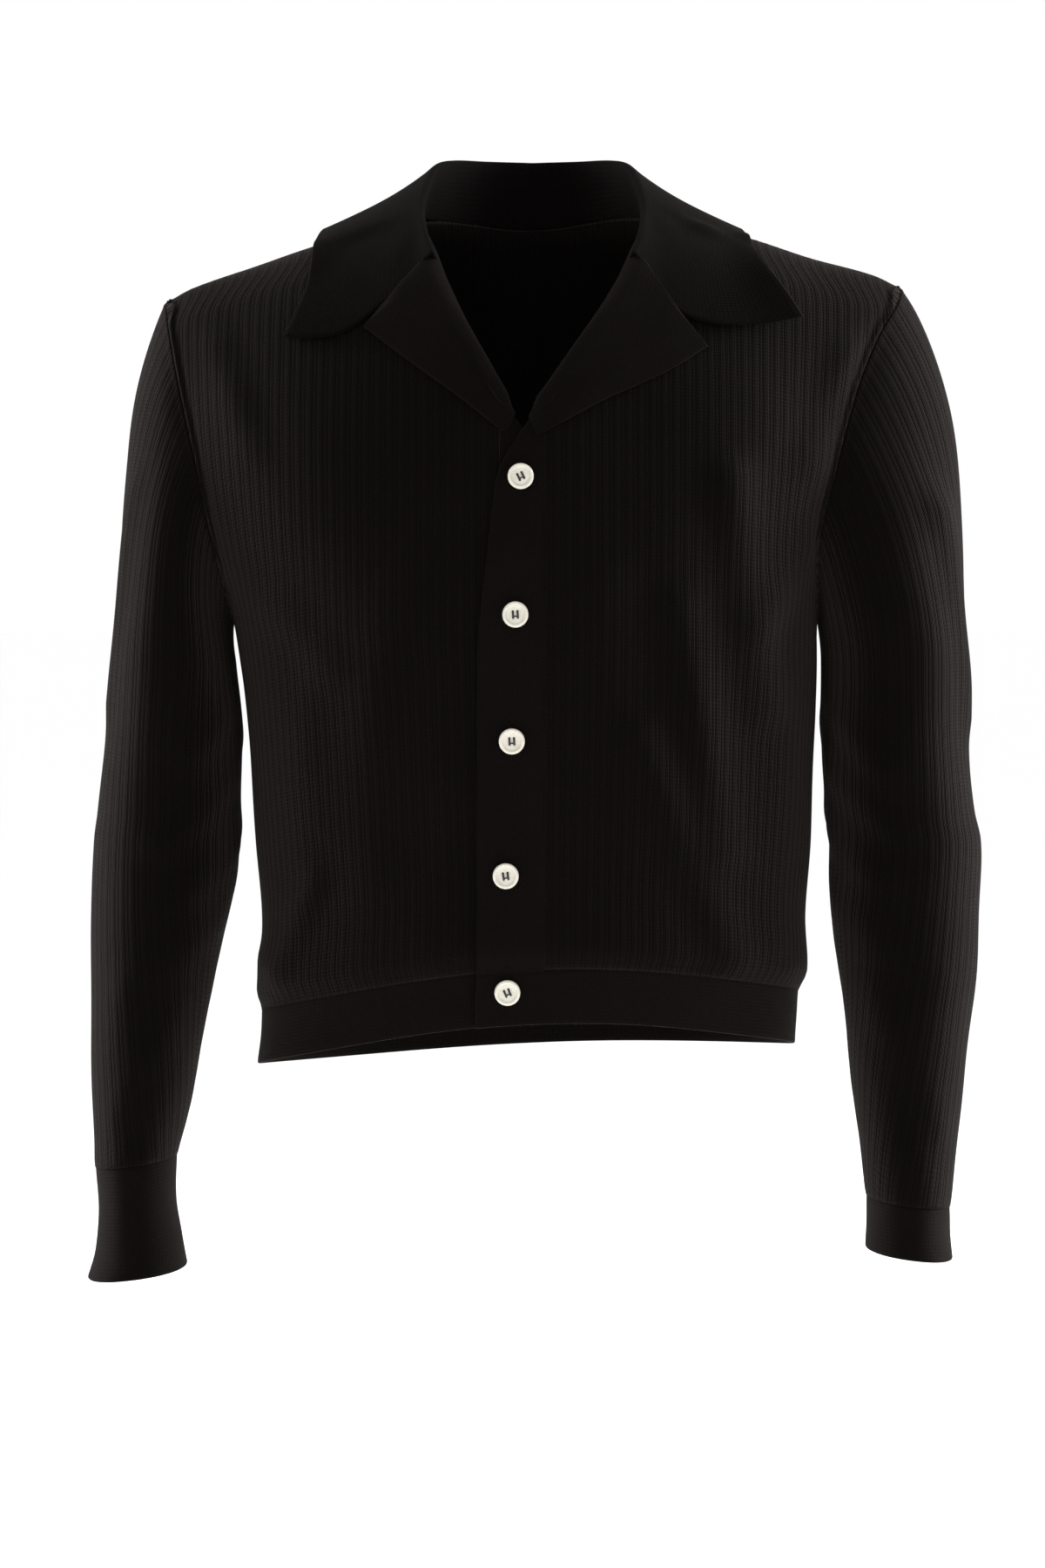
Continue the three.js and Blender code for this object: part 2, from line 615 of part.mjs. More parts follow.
function collarSection(at, side) {
  const row = {};
  ['rollX', 'rollY', 'rollZ', 'edgeX', 'edgeY', 'edgeZ'].forEach((key) => {
    row[key] = read(collarRows, 'at', at, key);
  });
  const stand = ['x', 'y', 'z'].map((key) => read(standRows, 'at', at, key));
  const towardsEnd = smooth((at - (1 - endBlend)) / endBlend);
  const roll = vec(row.rollX, row.rollY, row.rollZ);
  const edge = vec(row.edgeX, row.edgeY, row.edgeZ);
  const endRow = collarRows[collarRows.length - 1];
  const fallPoint = (share, clear) => {
    const point = roll.clone().lerp(edge, share);
    const endX = read(collarEndRows[side], 'at', share, 'x') - mix(endRow.rollX, endRow.edgeX, share);
    const endZ = read(collarEndRows[side], 'at', share, 'z') - mix(endRow.rollZ, endRow.edgeZ, share);
    point.x += endX * towardsEnd;
    point.z += endZ * towardsEnd;
    const overFront = -(depthAt(point.x, point.z, side, 'front') + clear);
    if (point.y < 0) point.y = mix(point.y, Math.min(point.y, overFront), towardsEnd);
    point.x *= sign(side);
    return clearOfBody(point, clear);
  };
  const foot = vec(stand[0] * sign(side), stand[1], stand[2]);
  const top = vec(roll.x * sign(side), roll.y, roll.z);
  return { foot, top, fallPoint };
}

const collarStations = ['right', 'left'].flatMap((side) => {
  const line = spread(collarSteps).map((at) => ({ at, side }));
  return side === 'right' ? line.reverse() : line.slice(1);
});
const fallShares = [0.1, 0.3, 0.55, 0.8, 1];

function collarGrid(isOuter) {
  return collarStations.map(({ at, side }) => {
    const { foot, top, fallPoint } = collarSection(at, side);
    const away = fallPoint(0.5, 0).sub(top).setZ(0).normalize();
    const face = (point, out, up) => point.clone().addScaledVector(away, out).add(vec(0, 0, up));
    const half = isOuter ? -plainWall / 2 : plainWall / 2;
    const standTop = face(top, -rollDrop / 2, -rollDrop);
    const standPart = [0, 0.5, 1].map((share) => face(foot.clone().lerp(standTop, share), half, 0));
    const rollPoint = face(top, isOuter ? 0 : rollEase, isOuter ? 0 : -plainWall);
    const neighbour = collarSection(at + (at > 0.5 ? -0.02 : 0.02), side);
    const turn = (at > 0.5 ? -1 : 1) * sign(side);
    const fallPart = fallShares.map((share) => {
      const point = fallPoint(share, collarClear + plainWall);
      const along = neighbour.fallPoint(share, collarClear + plainWall).sub(point).multiplyScalar(turn);
      const beyond = share < 1 ? fallStep : -fallStep;
      const down = fallPoint(share + beyond, collarClear + plainWall).sub(point).multiplyScalar(1 / beyond);
      const square = down.cross(along).normalize();
      if (square.dot(vec(point.x, point.y, 30)) < 0) square.negate();
      return isOuter ? point : point.addScaledVector(square, -plainWall);
    });
    return [...standPart, rollPoint, ...fallPart];
  });
}
const collar = clothMesh('collar', wallGeometry(collarGrid(true), collarGrid(false), false));

// Sleeves

// A line of points set out again at even distances
function evenly(line, count) {
  const run = [0];
  for (let i = 1; i < line.length; i += 1) run.push(run[i - 1] + line[i].distanceTo(line[i - 1]));
  const total = run[run.length - 1];
  return spread(count).map((share) => {
    let i = 1;
    while (i < line.length - 1 && run[i] < share * total) i += 1;
    return line[i - 1].clone().lerp(line[i], clamp((share * total - run[i - 1]) / (run[i] - run[i - 1]), 0, 1));
  });
}

// A closed ring from its front half and its back half, both from outside to inside
const closeRing = (front, behind, count) => [
  ...evenly(front, count / 2),
  ...evenly(behind, count / 2).reverse().slice(1, -1),
];

function armholeRing(side, count) {
  const half = (face) => rowHeights(1, side, face).slice(lowerRows.length - 1).reverse().map((z) => (
    bodyPoint(1, z, side, face).add(vec(sign(side) * armholeGap.out, 0, -armholeGap.down))
  ));
  return closeRing(half('front'), half('back'), count);
}

function levelRing(rows, z, side, rise, count) {
  const [outer, inner, mid, deep] = ['outer', 'inner', 'mid', 'deep'].map((key) => read(rows, 'z', z, key));
  const power = 2 / sleeveSquareness;
  const half = (towards) => spread(30).map((share) => {
    const angle = Math.PI * share;
    const across = Math.sign(Math.cos(angle)) * Math.abs(Math.cos(angle)) ** power;
    const x = (outer + inner) / 2 + ((outer - inner) / 2) * across;
    return vec(sign(side) * x, mid + towards * deep * Math.sin(angle) ** power, z + (rise * (1 - across)) / 2);
  });
  return closeRing(half(-1), half(1), count);
}

// Rings between the armhole and the first level section, which leave the seam outwards and down
function headRing(side, share, count) {
  const from = armholeRing(side, count);
  const topZ = sleeveRows[side][sleeveRows[side].length - 1].z;
  const to = levelRing(sleeveRows[side], topZ, side, 0, count);
  const next = levelRing(sleeveRows[side], topZ - 15, side, 0, count);
  return from.map((start, i) => {
    const turn = (2 * Math.PI * i) / count;
    const lean = Math.cos(turn) > 0 ? capFlare[side] : headLean.under;
    const flare = mix(headLean.side, lean, Math.abs(Math.cos(turn)));
    const length = start.distanceTo(to[i]);
    const leave = vec(sign(side) * flare, -headLean.under * Math.sin(turn), -headLean.down).normalize().multiplyScalar(length);
    const arrive = next[i].clone().sub(to[i]).normalize().multiplyScalar(length);
    return vec(...['x', 'y', 'z'].map((key) => hermite(start[key], to[i][key], leave[key], arrive[key], share)));
  });
}

function ringNormals(rings) {
  const last = rings.length - 1;
  return rings.map((ring, r) => ring.map((point, c) => {
    const across = ring[(c + 1) % ring.length].clone().sub(ring[(c + ring.length - 1) % ring.length]);
    const along = rings[Math.min(r + 1, last)][c].clone().sub(rings[Math.max(r - 1, 0)][c]);
    const away = across.cross(along).normalize();
    const centre = ring.reduce((sum, p) => sum.add(p), vec(0, 0, 0)).divideScalar(ring.length);
    return away.dot(point.clone().sub(centre)) < 0 ? away.negate() : away;
  }));
}

const headShares = [0, 0.18, 0.55];
const sleeveShares = [0, 0.27, 0.42, 0.6, 0.8, 1];   // from the underarm section to the cuff seam
function sleeveRings(side, count) {
  const rows = sleeveRows[side];
  const [topZ, endZ] = [rows[rows.length - 1].z, rows[0].z];
  return [
    ...headShares.map((share) => headRing(side, share, count)),
    ...sleeveShares.map((share) => levelRing(rows, mix(topZ, endZ, share), side, cuffRise[side] * share ** 2, count)),
  ];
}

const sleeveColumns = 116;
const liningColumns = 29;
const sleeves = ['left', 'right'].map((side) => {
  const rings = sleeveRings(side, sleeveColumns);
  const away = ringNormals(rings);
  const outer = rings.map((ring, r) => ring.map((point, c) => {
    const isRim = r === 0 || r === rings.length - 1;
    return point.clone().addScaledVector(away[r][c], !isRim && c % 2 === 1 ? ribRelief : 0);
  }));
  const every = sleeveColumns / liningColumns;
  const inner = rings.map((ring, r) => ring.filter((_, c) => c % every === 0).map((point, k) => {
    const inward = r === 0 ? armholeRim(point, side, 1) : away[r][k * every].clone().negate();
    return point.clone().addScaledVector(inward, wall);
  }));
  return clothMesh(`sleeve_${side}`, wallGeometry(outer, inner, true));
});

const cuffColumns = 32;
const cuffs = ['left', 'right'].map((side) => {
  const rings = cuffRows[side].map(({ z }) => levelRing(cuffRows[side], z, side, cuffRise[side], cuffColumns));
  const away = ringNormals(rings);
  const inner = rings.map((ring, r) => ring.map((point, c) => point.clone().addScaledVector(away[r][c], -plainWall)));
  return clothMesh(`cuff_${side}`, wallGeometry(rings, inner, true));
});

// Buttons: a dished disc with a rounded rim, its back on the left front's band

const buttonProfile = [
  { r: 0, h: 0 },
  { r: 0.8, h: 0 },
  { r: 1, h: 0.42 },
  { r: 0.95, h: 0.85 },
  { r: 0.84, h: 1 },
  { r: 0.7, h: 0.72 },
  { r: 0, h: 0.6 },
];
const buttonSides = 16;
const buttons = buttonRows.map(({ x, z, turn }, i) => {
  const line = buttonProfile.map(({ r, h }) => new THREE.Vector2(r * buttonRadius, h * buttonHeight));
  const geometry = mergeVertices(new THREE.LatheGeometry(line, buttonSides).deleteAttribute('uv').deleteAttribute('normal'));
  geometry.computeVertexNormals();
  const mesh = clothMesh(`button_${i + 1}`, geometry, buttonPearl);
  const seat = frontAt(x, z, overlapLift + buttonStand);
  const away = frontAt(x, z, overlapLift + 1).sub(frontAt(x, z, overlapLift)).normalize();
  mesh.quaternion.setFromUnitVectors(vec(0, 1, 0), away);
  mesh.rotateY(THREE.MathUtils.degToRad(turn));
  mesh.position.copy(seat);
  return mesh;
});

const group = new THREE.Group();
group.add(back, ...fronts, waistband, ...bands, ...lapels, collar, ...sleeves, ...cuffs, ...buttons);

export default group;
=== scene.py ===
import math

import bmesh
import bpy
import numpy as np
from mathutils import Matrix, Vector


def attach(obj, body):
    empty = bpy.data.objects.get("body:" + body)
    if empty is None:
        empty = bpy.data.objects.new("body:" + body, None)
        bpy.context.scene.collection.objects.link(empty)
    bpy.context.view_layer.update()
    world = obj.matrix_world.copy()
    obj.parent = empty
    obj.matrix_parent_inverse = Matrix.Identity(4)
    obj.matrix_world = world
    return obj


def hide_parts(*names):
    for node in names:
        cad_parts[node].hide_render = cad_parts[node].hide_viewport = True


# Cropped rib-knit cardigan in its worn form. Tables and forms are in millimetres, as in the part's
# source; pieces are made in metres. +X is the wearer's left and the front faces -Y.

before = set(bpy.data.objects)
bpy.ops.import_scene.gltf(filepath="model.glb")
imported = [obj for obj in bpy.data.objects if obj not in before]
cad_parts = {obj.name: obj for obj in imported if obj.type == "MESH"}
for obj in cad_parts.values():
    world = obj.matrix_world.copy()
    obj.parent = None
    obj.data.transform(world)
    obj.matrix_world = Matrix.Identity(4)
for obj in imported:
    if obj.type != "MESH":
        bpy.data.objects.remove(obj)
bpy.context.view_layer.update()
MM = 0.001

# Sizes shared with the solids
WALL = 2.0
PLAIN_WALL = 2.2
SEAM_GAP = 0.35
RIB_REPEAT = 6.9
RIB_RELIEF = 0.18
OVERLAP_LIFT = 3.4
UNDERARM_Z = -215.0
SHOULDER_TIP_Z = -20.0
NECK_TOP_Z = 30.0
SEAM_Z = -436.0
SQUARENESS = 2.3
BACK_EASE = 9.0
V_SHIFT = 6.0
V_TOP = 60.0
NECK_HALF = 70.0
BACK_NECK_DIP = 8.0
WAISTBAND_HEIGHT = 30.0
WAISTBAND_GAP = 0.5
BAND_SEAM_X = 6.0
UNDER_BAND_X = -17.0
DIP_FADE = 170.0
OVERLAP_FADE = 64.0
DIP_MIDDLE, DIP_SIDE, DIP_TWICE = 16, 6, 6
SIDE_SETTLE = 8
ARMHOLE_OUT = 0.05
ARMHOLE_MIDDLE = (198, -120)
SHOULDER_ROUND = {"front": (170.0, 2.0), "back": (130.0, 2.5)}


def table(names, rows):
    values = np.array(rows, float)
    return {name: values[:, i] for i, name in enumerate(names.split())}


def both(names, left, right):
    return {"left": table(names, left), "right": table(names, right)}


BODY = table("z left right front back reach", [
    (-470, 157, 165, 103, 99, 1), (-436, 159, 162, 106, 98, 1), (-424, 164, 165, 111, 103, 1),
    (-390, 163, 161, 112, 102, 1), (-343, 166, 165, 114, 102, 1), (-281, 168, 169, 118, 106, 1),
    (-215, 170, 178, 122, 113, 1), (-166, 168, 188, 122, 117, 0.955), (-126, 177, 196, 119, 119, 0.91),
    (-78, 190, 207, 114, 116, 0.9), (-45, 204, 214, 109, 110, 0.9), (-20, 218, 218, 105, 104, 0.9),
    (30, 219, 219, 100, 98, 0.9),
])
SHOULDER = table("x left right", [
    (0, 28, 28), (60, 26, 24), (123, 14, 10), (165, 1, -4), (202, -9, -17), (219, -17, -26),
])
V_EDGE = table("x z", [(0, -104), (5, -95), (15, -81), (34, -51), (55, -20), (62, -2), (70, 23)])
SHOULDER_END = SHOULDER["x"][-1]
OPENING = table("z x", [
    (-470, -32.5), (-420, -31), (-233, -30.5), (-203, -28.5), (-173, -25), (-140, -21.5),
    (-123, -18), (-105, -7.5),
])
SLEEVE = both("z outer inner mid deep", [
    (-560, 248, 198, -32, 38), (-495, 256, 191, -21, 43), (-430, 263.5, 184, -10, 49),
    (-374, 267.5, 177.5, -1, 54), (-345, 267.5, 177, 2, 56), (-328, 264, 176, 3, 57),
    (-281, 260, 173, 3, 60), (-240, 258, 173, 2, 61),
], [
    (-537, 260, 211, -28, 39), (-495, 262, 202, -21, 43), (-430, 263.5, 190, -10, 49),
    (-374, 263.5, 178, -1, 54), (-345, 261.5, 175.5, 2, 56), (-328, 259, 175, 3, 57),
    (-281, 255, 173.5, 3, 60), (-240, 250, 177, 2, 61),
])
CUFF = both("z outer inner mid deep", [
    (-590, 249, 197.5, -37, 37), (-576, 248, 198, -35, 36.5), (-560.5, 247.5, 198.5, -32, 37.5),
], [
    (-601, 263.5, 205, -39, 40), (-585, 259, 208, -36, 37.5), (-565, 257.5, 211.5, -33, 36),
    (-537.5, 259.5, 211.5, -28, 38.5),
])
CUFF_RISE = {"left": 6.0, "right": 7.0}
CAP_FLARE = {"left": 0.62, "right": 0.42}
SLEEVE_SQUARENESS = 2.2

COLLAR = table("at rollX rollY rollZ edgeX edgeY edgeZ", [
    (0, 0, 60, 61, 0, 92, -12), (0.16, 27, 56, 61.5, 50, 88, -12), (0.32, 48, 43, 61.5, 91, 73, -3),
    (0.47, 58, 25, 58, 115, 40, 12), (0.62, 63, 4, 47, 123, 4, 19), (0.76, 66, -20, 31, 128, -30, 9),
    (0.88, 64, -42, 17, 134, -52, -10), (1, 59, -60, 2, 150, -66, -40),
])
COLLAR_END = both("at x z", [
    (0, 59.5, 2.5), (0.3, 83.5, -32), (0.42, 94, -37), (0.6, 110, -40), (0.8, 132, -39.5), (1, 156, -35),
], [
    (0, 58.5, 2.5), (0.3, 83, -24.5), (0.48, 101, -40), (0.65, 115, -46), (0.82, 129, -48), (1, 144, -47),
])
END_BLEND = 0.26
COLLAR_CLEAR = 1.6
STAND = table("at x y z", [
    (0, 0, 52, 18.8), (0.2, 32, 46, 20.9), (0.45, 60, 24, 25.2), (0.62, 67, 3, 26), (0.8, 65, -24, 16),
    (1, 56, -52, -1),
])
LAPEL = both("at rollX edgeX edgeZ", [
    (0, -2, 2, -107), (0.3, 15, 40, -86), (0.65, 40, 78, -68), (1, 59, 100, -54),
], [
    (0, -10.5, -15, -105), (0.3, -25, -40, -85), (0.65, -43, -69, -64), (1, -58, -97, -43),
])
# The lapel's turn about its roll: reach and height of the outer face, then height and reach of the inner
HOOK = [
    (0.8, -6, -3.9, 0.8), (-2.6, -5, -3.2, -1.2), (-4.2, -0.8, -0.8, -2), (-2.6, 3.2, 1.4, -1.2),
    (3, 4.6, 2.2, 3),
]
# End of each lapel under the collar: rollX, edgeX and edgeZ
LAPEL_TUCK = {"left": (66, 68, -17), "right": (-66, -70, -9)}
WRAP_FADE = 0.45
LAPEL_BELLY = 2.2
# Place of each button on the front, and its turn in degrees
BUTTONS = [(-7, -130, 25), (-10, -208, 4), (-12, -281, 3), (-15.5, -373, 8), (-14.6, -447.5, 22)]

# Creases: each runs from one place to another, with its half width, its height and the depth of the
# trough on its lower side. x is positive on the wearer's left.
FRONT_CREASES = [
    (115, -133, 136, -262, 14, 3.6, 0.4), (160, -170, 134, -214, 12, 3.0, 0.3),
    (86, -206, 111, -345, 13, 3.4, 0.4), (64, -280, 118, -408, 13, 2.8, 0.3),
    (-154, -416, -128, -362, 9, 3.0, 0.0), (-134, -350, -132, -250, 12, 1.8, 0.0),
    (-70, -180, -120, -330, 16, 1.2, 0.5), (-150, -205, -118, -240, 13, 1.8, 0.6),
    (-150, -424, -126, -368, 6, 1.6, 0.8), (-90, -250, -104, -415, 15, 1.0, 0.4),
    (40, -190, 58, -330, 15, 1.1, 0.4), (150, -250, 142, -400, 12, 1.6, 0.5),
    (165, -120, 186, -60, 12, 1.8, 0.5), (-165, -110, -186, -55, 12, 1.6, 0.5),
    (-44, -300, -60, -425, 12, 0.9, 0.3), (100, -425, 150, -418, 7, 1.0, 0.4),
]
BACK_CREASES = [
    (-150, -190, -96, -262, 15, 2.8, 0.6), (148, -196, 100, -255, 14, 2.5, 0.6),
    (-96, -300, -120, -424, 14, 2.4, 0.5), (88, -280, 110, -424, 13, 2.6, 0.5),
    (-20, -330, -36, -428, 13, 1.8, 0.4), (34, -350, 26, -428, 12, 1.5, 0.4),
    (-150, -120, -128, -230, 13, 2.4, 0.5), (152, -110, 130, -220, 14, 2.3, 0.5),
    (-60, -40, -84, -150, 16, 1.4, 0.4), (66, -46, 80, -160, 15, 1.3, 0.4),
    (-140, -380, -60, -408, 10, 1.6, 0.6), (138, -372, 70, -400, 10, 1.5, 0.6),
]
# On a sleeve, places are turns from the shoulder line, positive towards the front, and heights
SLEEVE_CREASES = {
    "left": [
        (40, -150, 22, -270, 13, 2.6, 0.5), (-35, -160, -22, -290, 13, 2, 0.5),
        (150, -262, 100, -300, 12, 1.5, 0.7), (158, -300, 96, -338, 10.8, 1.4, 0.7),
        (172, -338, 108, -366, 10.8, 1.3, 0.7), (160, -380, 70, -420, 13.2, 1.1, 0.6),
        (-160, -275, -100, -318, 12, 1.2, 0.6), (-168, -330, -106, -350, 10.8, 1.2, 0.7),
        (120, -440, 60, -510, 13.2, 0.8, 0.5), (-110, -400, -70, -480, 14.4, 0.8, 0.5),
    ],
    "right": [
        (36, -140, 24, -262, 13, 2.2, 0.5), (-38, -150, -26, -280, 13, 2, 0.5),
        (156, -258, 104, -292, 12, 1.4, 0.7), (152, -306, 88, -346, 10.8, 1.45, 0.7),
        (170, -346, 112, -372, 10.8, 1.2, 0.7), (150, -392, 72, -430, 13.2, 1, 0.6),
        (-156, -285, -96, -322, 12, 1.2, 0.6), (-170, -338, -104, -362, 10.8, 1.1, 0.7),
        (118, -446, 64, -505, 13.2, 0.7, 0.5), (-104, -410, -66, -486, 14.4, 0.8, 0.5),
    ],
}


# Small sums

def smooth(t):
    t = np.clip(t, 0, 1)
    return t * t * (3 - 2 * t)


def mix(a, b, t):
    return a + (b - a) * t


def read(rows, at, column):
    """Smooth value of one column of a table at places along its first column."""
    keys, values = rows[next(iter(rows))], rows[column]
    last = len(keys) - 1
    before, after = np.maximum(np.arange(last + 1) - 1, 0), np.minimum(np.arange(last + 1) + 1, last)
    slopes = (values[after] - values[before]) / (keys[after] - keys[before])
    at = np.asarray(at, float)
    i = np.clip(np.searchsorted(keys, at, side="left") - 1, 0, last - 1)
    span = keys[i + 1] - keys[i]
    t = np.clip((at - keys[i]) / span, 0, 1)
    return hermite(values[i], values[i + 1], slopes[i] * span, slopes[i + 1] * span, t)


def hermite(a, b, slope_a, slope_b, t):
    t2, t3 = t * t, t * t * t
    from_a = (2 * t3 - 3 * t2 + 1) * a + (t3 - 2 * t2 + t) * slope_a
    return from_a + (3 * t2 - 2 * t3) * b + (t3 - t2) * slope_b


def hump(at, middle, half):
    return np.exp(-((at - middle) / half) ** 2)


def unit(v):
    return v / np.maximum(np.linalg.norm(v, axis=-1, keepdims=True), 1e-9)


def spread(*places):
    return [np.array(a, float) for a in np.broadcast_arrays(*places)]


def stack(x, y, z):
    return np.stack(np.broadcast_arrays(x, y, z), axis=-1).astype(float)


def points_in(rows, at, columns):
    return stack(*(read(rows, at, column) for column in columns.split()))


def sign(side):
    return 1 if side == "left" else -1


def by_side(x, value):
    """A value that depends on the half width and the side, at signed places across."""
    return np.where(x > 0, value(np.abs(x), "left"), value(np.abs(x), "right"))


def outward(face):
    return -1 if face == "front" else 1


def run_along(points):
    """Distance along the first axis of a grid from its first point."""
    steps = np.linalg.norm(np.diff(points, axis=0), axis=-1)
    return np.concatenate([np.zeros((1,) + steps.shape[1:]), np.cumsum(steps, axis=0)])


def coarse(count, step):
    """Every few places of a count, with its last one."""
    return np.unique(np.r_[0:count:step, count - 1])


# Body

def edge_at(z, side, face):
    rise = np.clip((z - UNDERARM_Z) / (SHOULDER_TIP_Z - UNDERARM_Z), 0, 1)
    ease = BACK_EASE * np.sin(np.pi * rise) if face == "back" else 0
    return read(BODY, z, side) + ease


def depth_at(x, z, side, face):
    across = np.minimum(x / edge_at(z, side, face) * read(BODY, z, "reach"), 1)
    around = (1 - across ** SQUARENESS) ** (1 / SQUARENESS)
    drop, power = SHOULDER_ROUND[face]
    below = np.clip((read(SHOULDER, x, side) - z) / drop, 0, 1)
    return read(BODY, z, face) * around * (1 - (1 - below) ** power) ** (1 / power)


def run_to(x, z, side, face, steps=72):
    """Way round a level section from the middle to x, with the places and runs it was summed over."""
    xs = x[..., None] * np.sin(np.linspace(0, np.pi / 2, steps + 1))
    ys = depth_at(xs, z[..., None], side, face)
    run = np.cumsum(np.hypot(np.diff(xs), np.diff(ys)), axis=-1)
    return xs, np.concatenate([np.zeros(run.shape[:-1] + (1,)), run], axis=-1)


def place_at(goal, xs, run):
    """Place where a run reaches its goal."""
    def take(a, k):
        return np.take_along_axis(a, k, -1)[..., 0]

    i = np.clip((run < goal[..., None]).sum(-1), 1, run.shape[-1] - 1)[..., None]
    t = np.clip((goal - take(run, i - 1)) / (take(run, i) - take(run, i - 1)), 0, 1)
    return mix(take(xs, i - 1), take(xs, i), t)


def x_at(goal, z, side, face, by_share=False):
    """Place at a run from the middle or a share of the way round, never past the side seam or armhole,
    and the whole way round."""
    goal, z = spread(goal, z)
    xs, run = run_to(edge_at(z, side, face), z, side, face)
    around = run[..., -1]
    return place_at(goal * around if by_share else np.minimum(goal, around), xs, run), around


def share_at_x(x, z, side, face):
    x, z = spread(x, z)
    whole = run_to(edge_at(z, side, face), z, side, face)[1][..., -1]
    return run_to(x, z, side, face)[1][..., -1] / whole


def share_at_seam(x, side):
    return float(share_at_x(x, SEAM_Z, side, "front"))


def top_at(x, side, face):
    shoulder = read(SHOULDER, x, side)
    if face == "back":
        return shoulder - BACK_NECK_DIP * (1 - smooth(x / NECK_HALF))
    from_v = x + sign(side) * V_SHIFT * (1 - np.minimum(x / V_TOP, 1))
    return np.where(x >= NECK_HALF, shoulder, np.minimum(shoulder, read(V_EDGE, np.abs(from_v), "z")))


def seam_turn(share, side, face):
    quarter = np.pi / 2 * share
    return sign(side) * (quarter if face == "front" else np.pi - quarter)


def dip_at(z, turn):
    dip = DIP_MIDDLE * np.cos(turn) + DIP_SIDE * np.sin(turn) + DIP_TWICE * np.cos(2 * turn)
    return dip * (1 - smooth((z - SEAM_Z) / DIP_FADE))


def lift_at(x, side):
    if side == "right":
        return np.zeros_like(x)
    return OVERLAP_LIFT * (1 - smooth((x - BAND_SEAM_X) / OVERLAP_FADE))


def crease_sum(creases, u, v):
    """Sum of soft ridges with a trough beside each."""
    total = np.zeros(np.broadcast(u, v).shape)
    for x0, z0, x1, z1, width, height, trough in creases:
        ax, az = x1 - x0, z1 - z0
        fx, fz = u - x0, v - z0
        length = math.hypot(ax, az)
        run = (fx * ax + fz * az) / length ** 2
        along = np.clip(run, 0, 1)
        off = np.hypot(fx - ax * along, fz - az * along)
        beside = (fx * az - fz * ax) / length
        down = beside * (1 if az * ax <= 0 else -1)
        swell = 1 + 0.25 * np.sin(7 * along + x0)
        total += height * swell * hump(off, 0, width)
        total -= height * trough * 0.7 * hump(np.hypot(off * 0.4, down - 1.5 * width), 0, 0.9 * width)
    return total


def surface_at(x, z, share, side, face):
    """Points of a body face without its creases."""
    out = lift_at(x, side) if face == "front" else 0
    depth = depth_at(x, z, side, face) + out * np.minimum(1, (1 - share) * SIDE_SETTLE)
    return stack(sign(side) * x, outward(face) * depth, z + dip_at(z, seam_turn(share, side, face)))


def body_surface(share, z, side, face):
    """The same from a share of the way round."""
    return surface_at(x_at(share, z, side, face, by_share=True)[0], z, share, side, face)


def front_surface(x, z):
    x, z = spread(x, z)
    depth = by_side(x, lambda half, side: depth_at(half, z, side, "front"))
    turn = by_side(x, lambda half, side: seam_turn(share_at_x(half, z, side, "front"), side, "front"))
    return stack(x, -depth, z + dip_at(z, turn))


def front_at(x, z, out):
    """Points that stand out from the front by a distance square to it."""
    point = front_surface(x, z)
    across = front_surface(x + 1, z) - front_surface(x - 1, z)
    along = front_surface(x, z + 1) - front_surface(x, z - 1)
    return point + unit(np.cross(across, along)) * np.asarray(out, float)[..., None]


# Meshes

UV_UNIT = 0.01                   # knit coordinates are kept at a hundredth of their millimetres
WELD, SHORTEST_EDGE = 2e-6, 1e-6
EDGE_TURNS, CAP_TURNS = np.radians([45, 90, 135]), np.radians([40, 75])


def grid_normals(grid, ring=False, hint=None):
    """Ways out of a surface: away from its middle, or to the side that a hint gives."""
    if ring:
        across = np.roll(grid, -1, 1) - np.roll(grid, 1, 1)
    else:
        across = np.gradient(grid, axis=1)
    away = unit(np.cross(across, np.gradient(grid, axis=0)))
    centre = grid.mean(axis=1, keepdims=True) if ring else np.array([0, 0, 0])
    wanted = (grid - centre) if hint is None else np.asarray(hint, float)
    return away if (away * wanted).sum() > 0 else -away


def arc_uv(grid):
    """Knit coordinates in millimetres: across the wales, then along them."""
    wide = np.linalg.norm(np.diff(grid, axis=1), axis=2).mean(axis=0)
    tall = np.linalg.norm(np.diff(grid, axis=0), axis=2).mean(axis=1)
    u = np.concatenate([[0], np.cumsum(wide)])
    v = np.concatenate([[0], np.cumsum(tall)])
    return stack(u[None, :], v[:, None], 0)[..., :2]


def zip_lines(a, b, faces):
    """Adds triangles between two lines of points, stepping along whichever is behind."""
    i = j = 0
    while i < len(a) - 1 or j < len(b) - 1:
        if j == len(b) - 1 or (i < len(a) - 1 and (i + 1) / (len(a) - 1) <= (j + 1) / (len(b) - 1)):
            faces.append((a[i], a[i + 1], b[j]))
            i += 1
        else:
            faces.append((a[i], b[j + 1], b[j]))
            j += 1


def quads(numbers, flip=False):
    """Four-sided faces between the rows and columns of a grid of point numbers."""
    corners = [numbers[:-1, :-1], numbers[:-1, 1:], numbers[1:, 1:], numbers[1:, :-1]]
    if flip:
        corners = [corners[0], *corners[:0:-1]]
    return [tuple(q) for q in np.stack([c.ravel() for c in corners], axis=1).tolist()]


def numbered(grid, first=0):
    return first + np.arange(grid.shape[0] * grid.shape[1]).reshape(grid.shape[:2])


def wrapped(numbers, axis=1):
    """A grid with its first column or row set again after its last."""
    return np.concatenate([numbers, numbers.take([0], axis)], axis=axis)


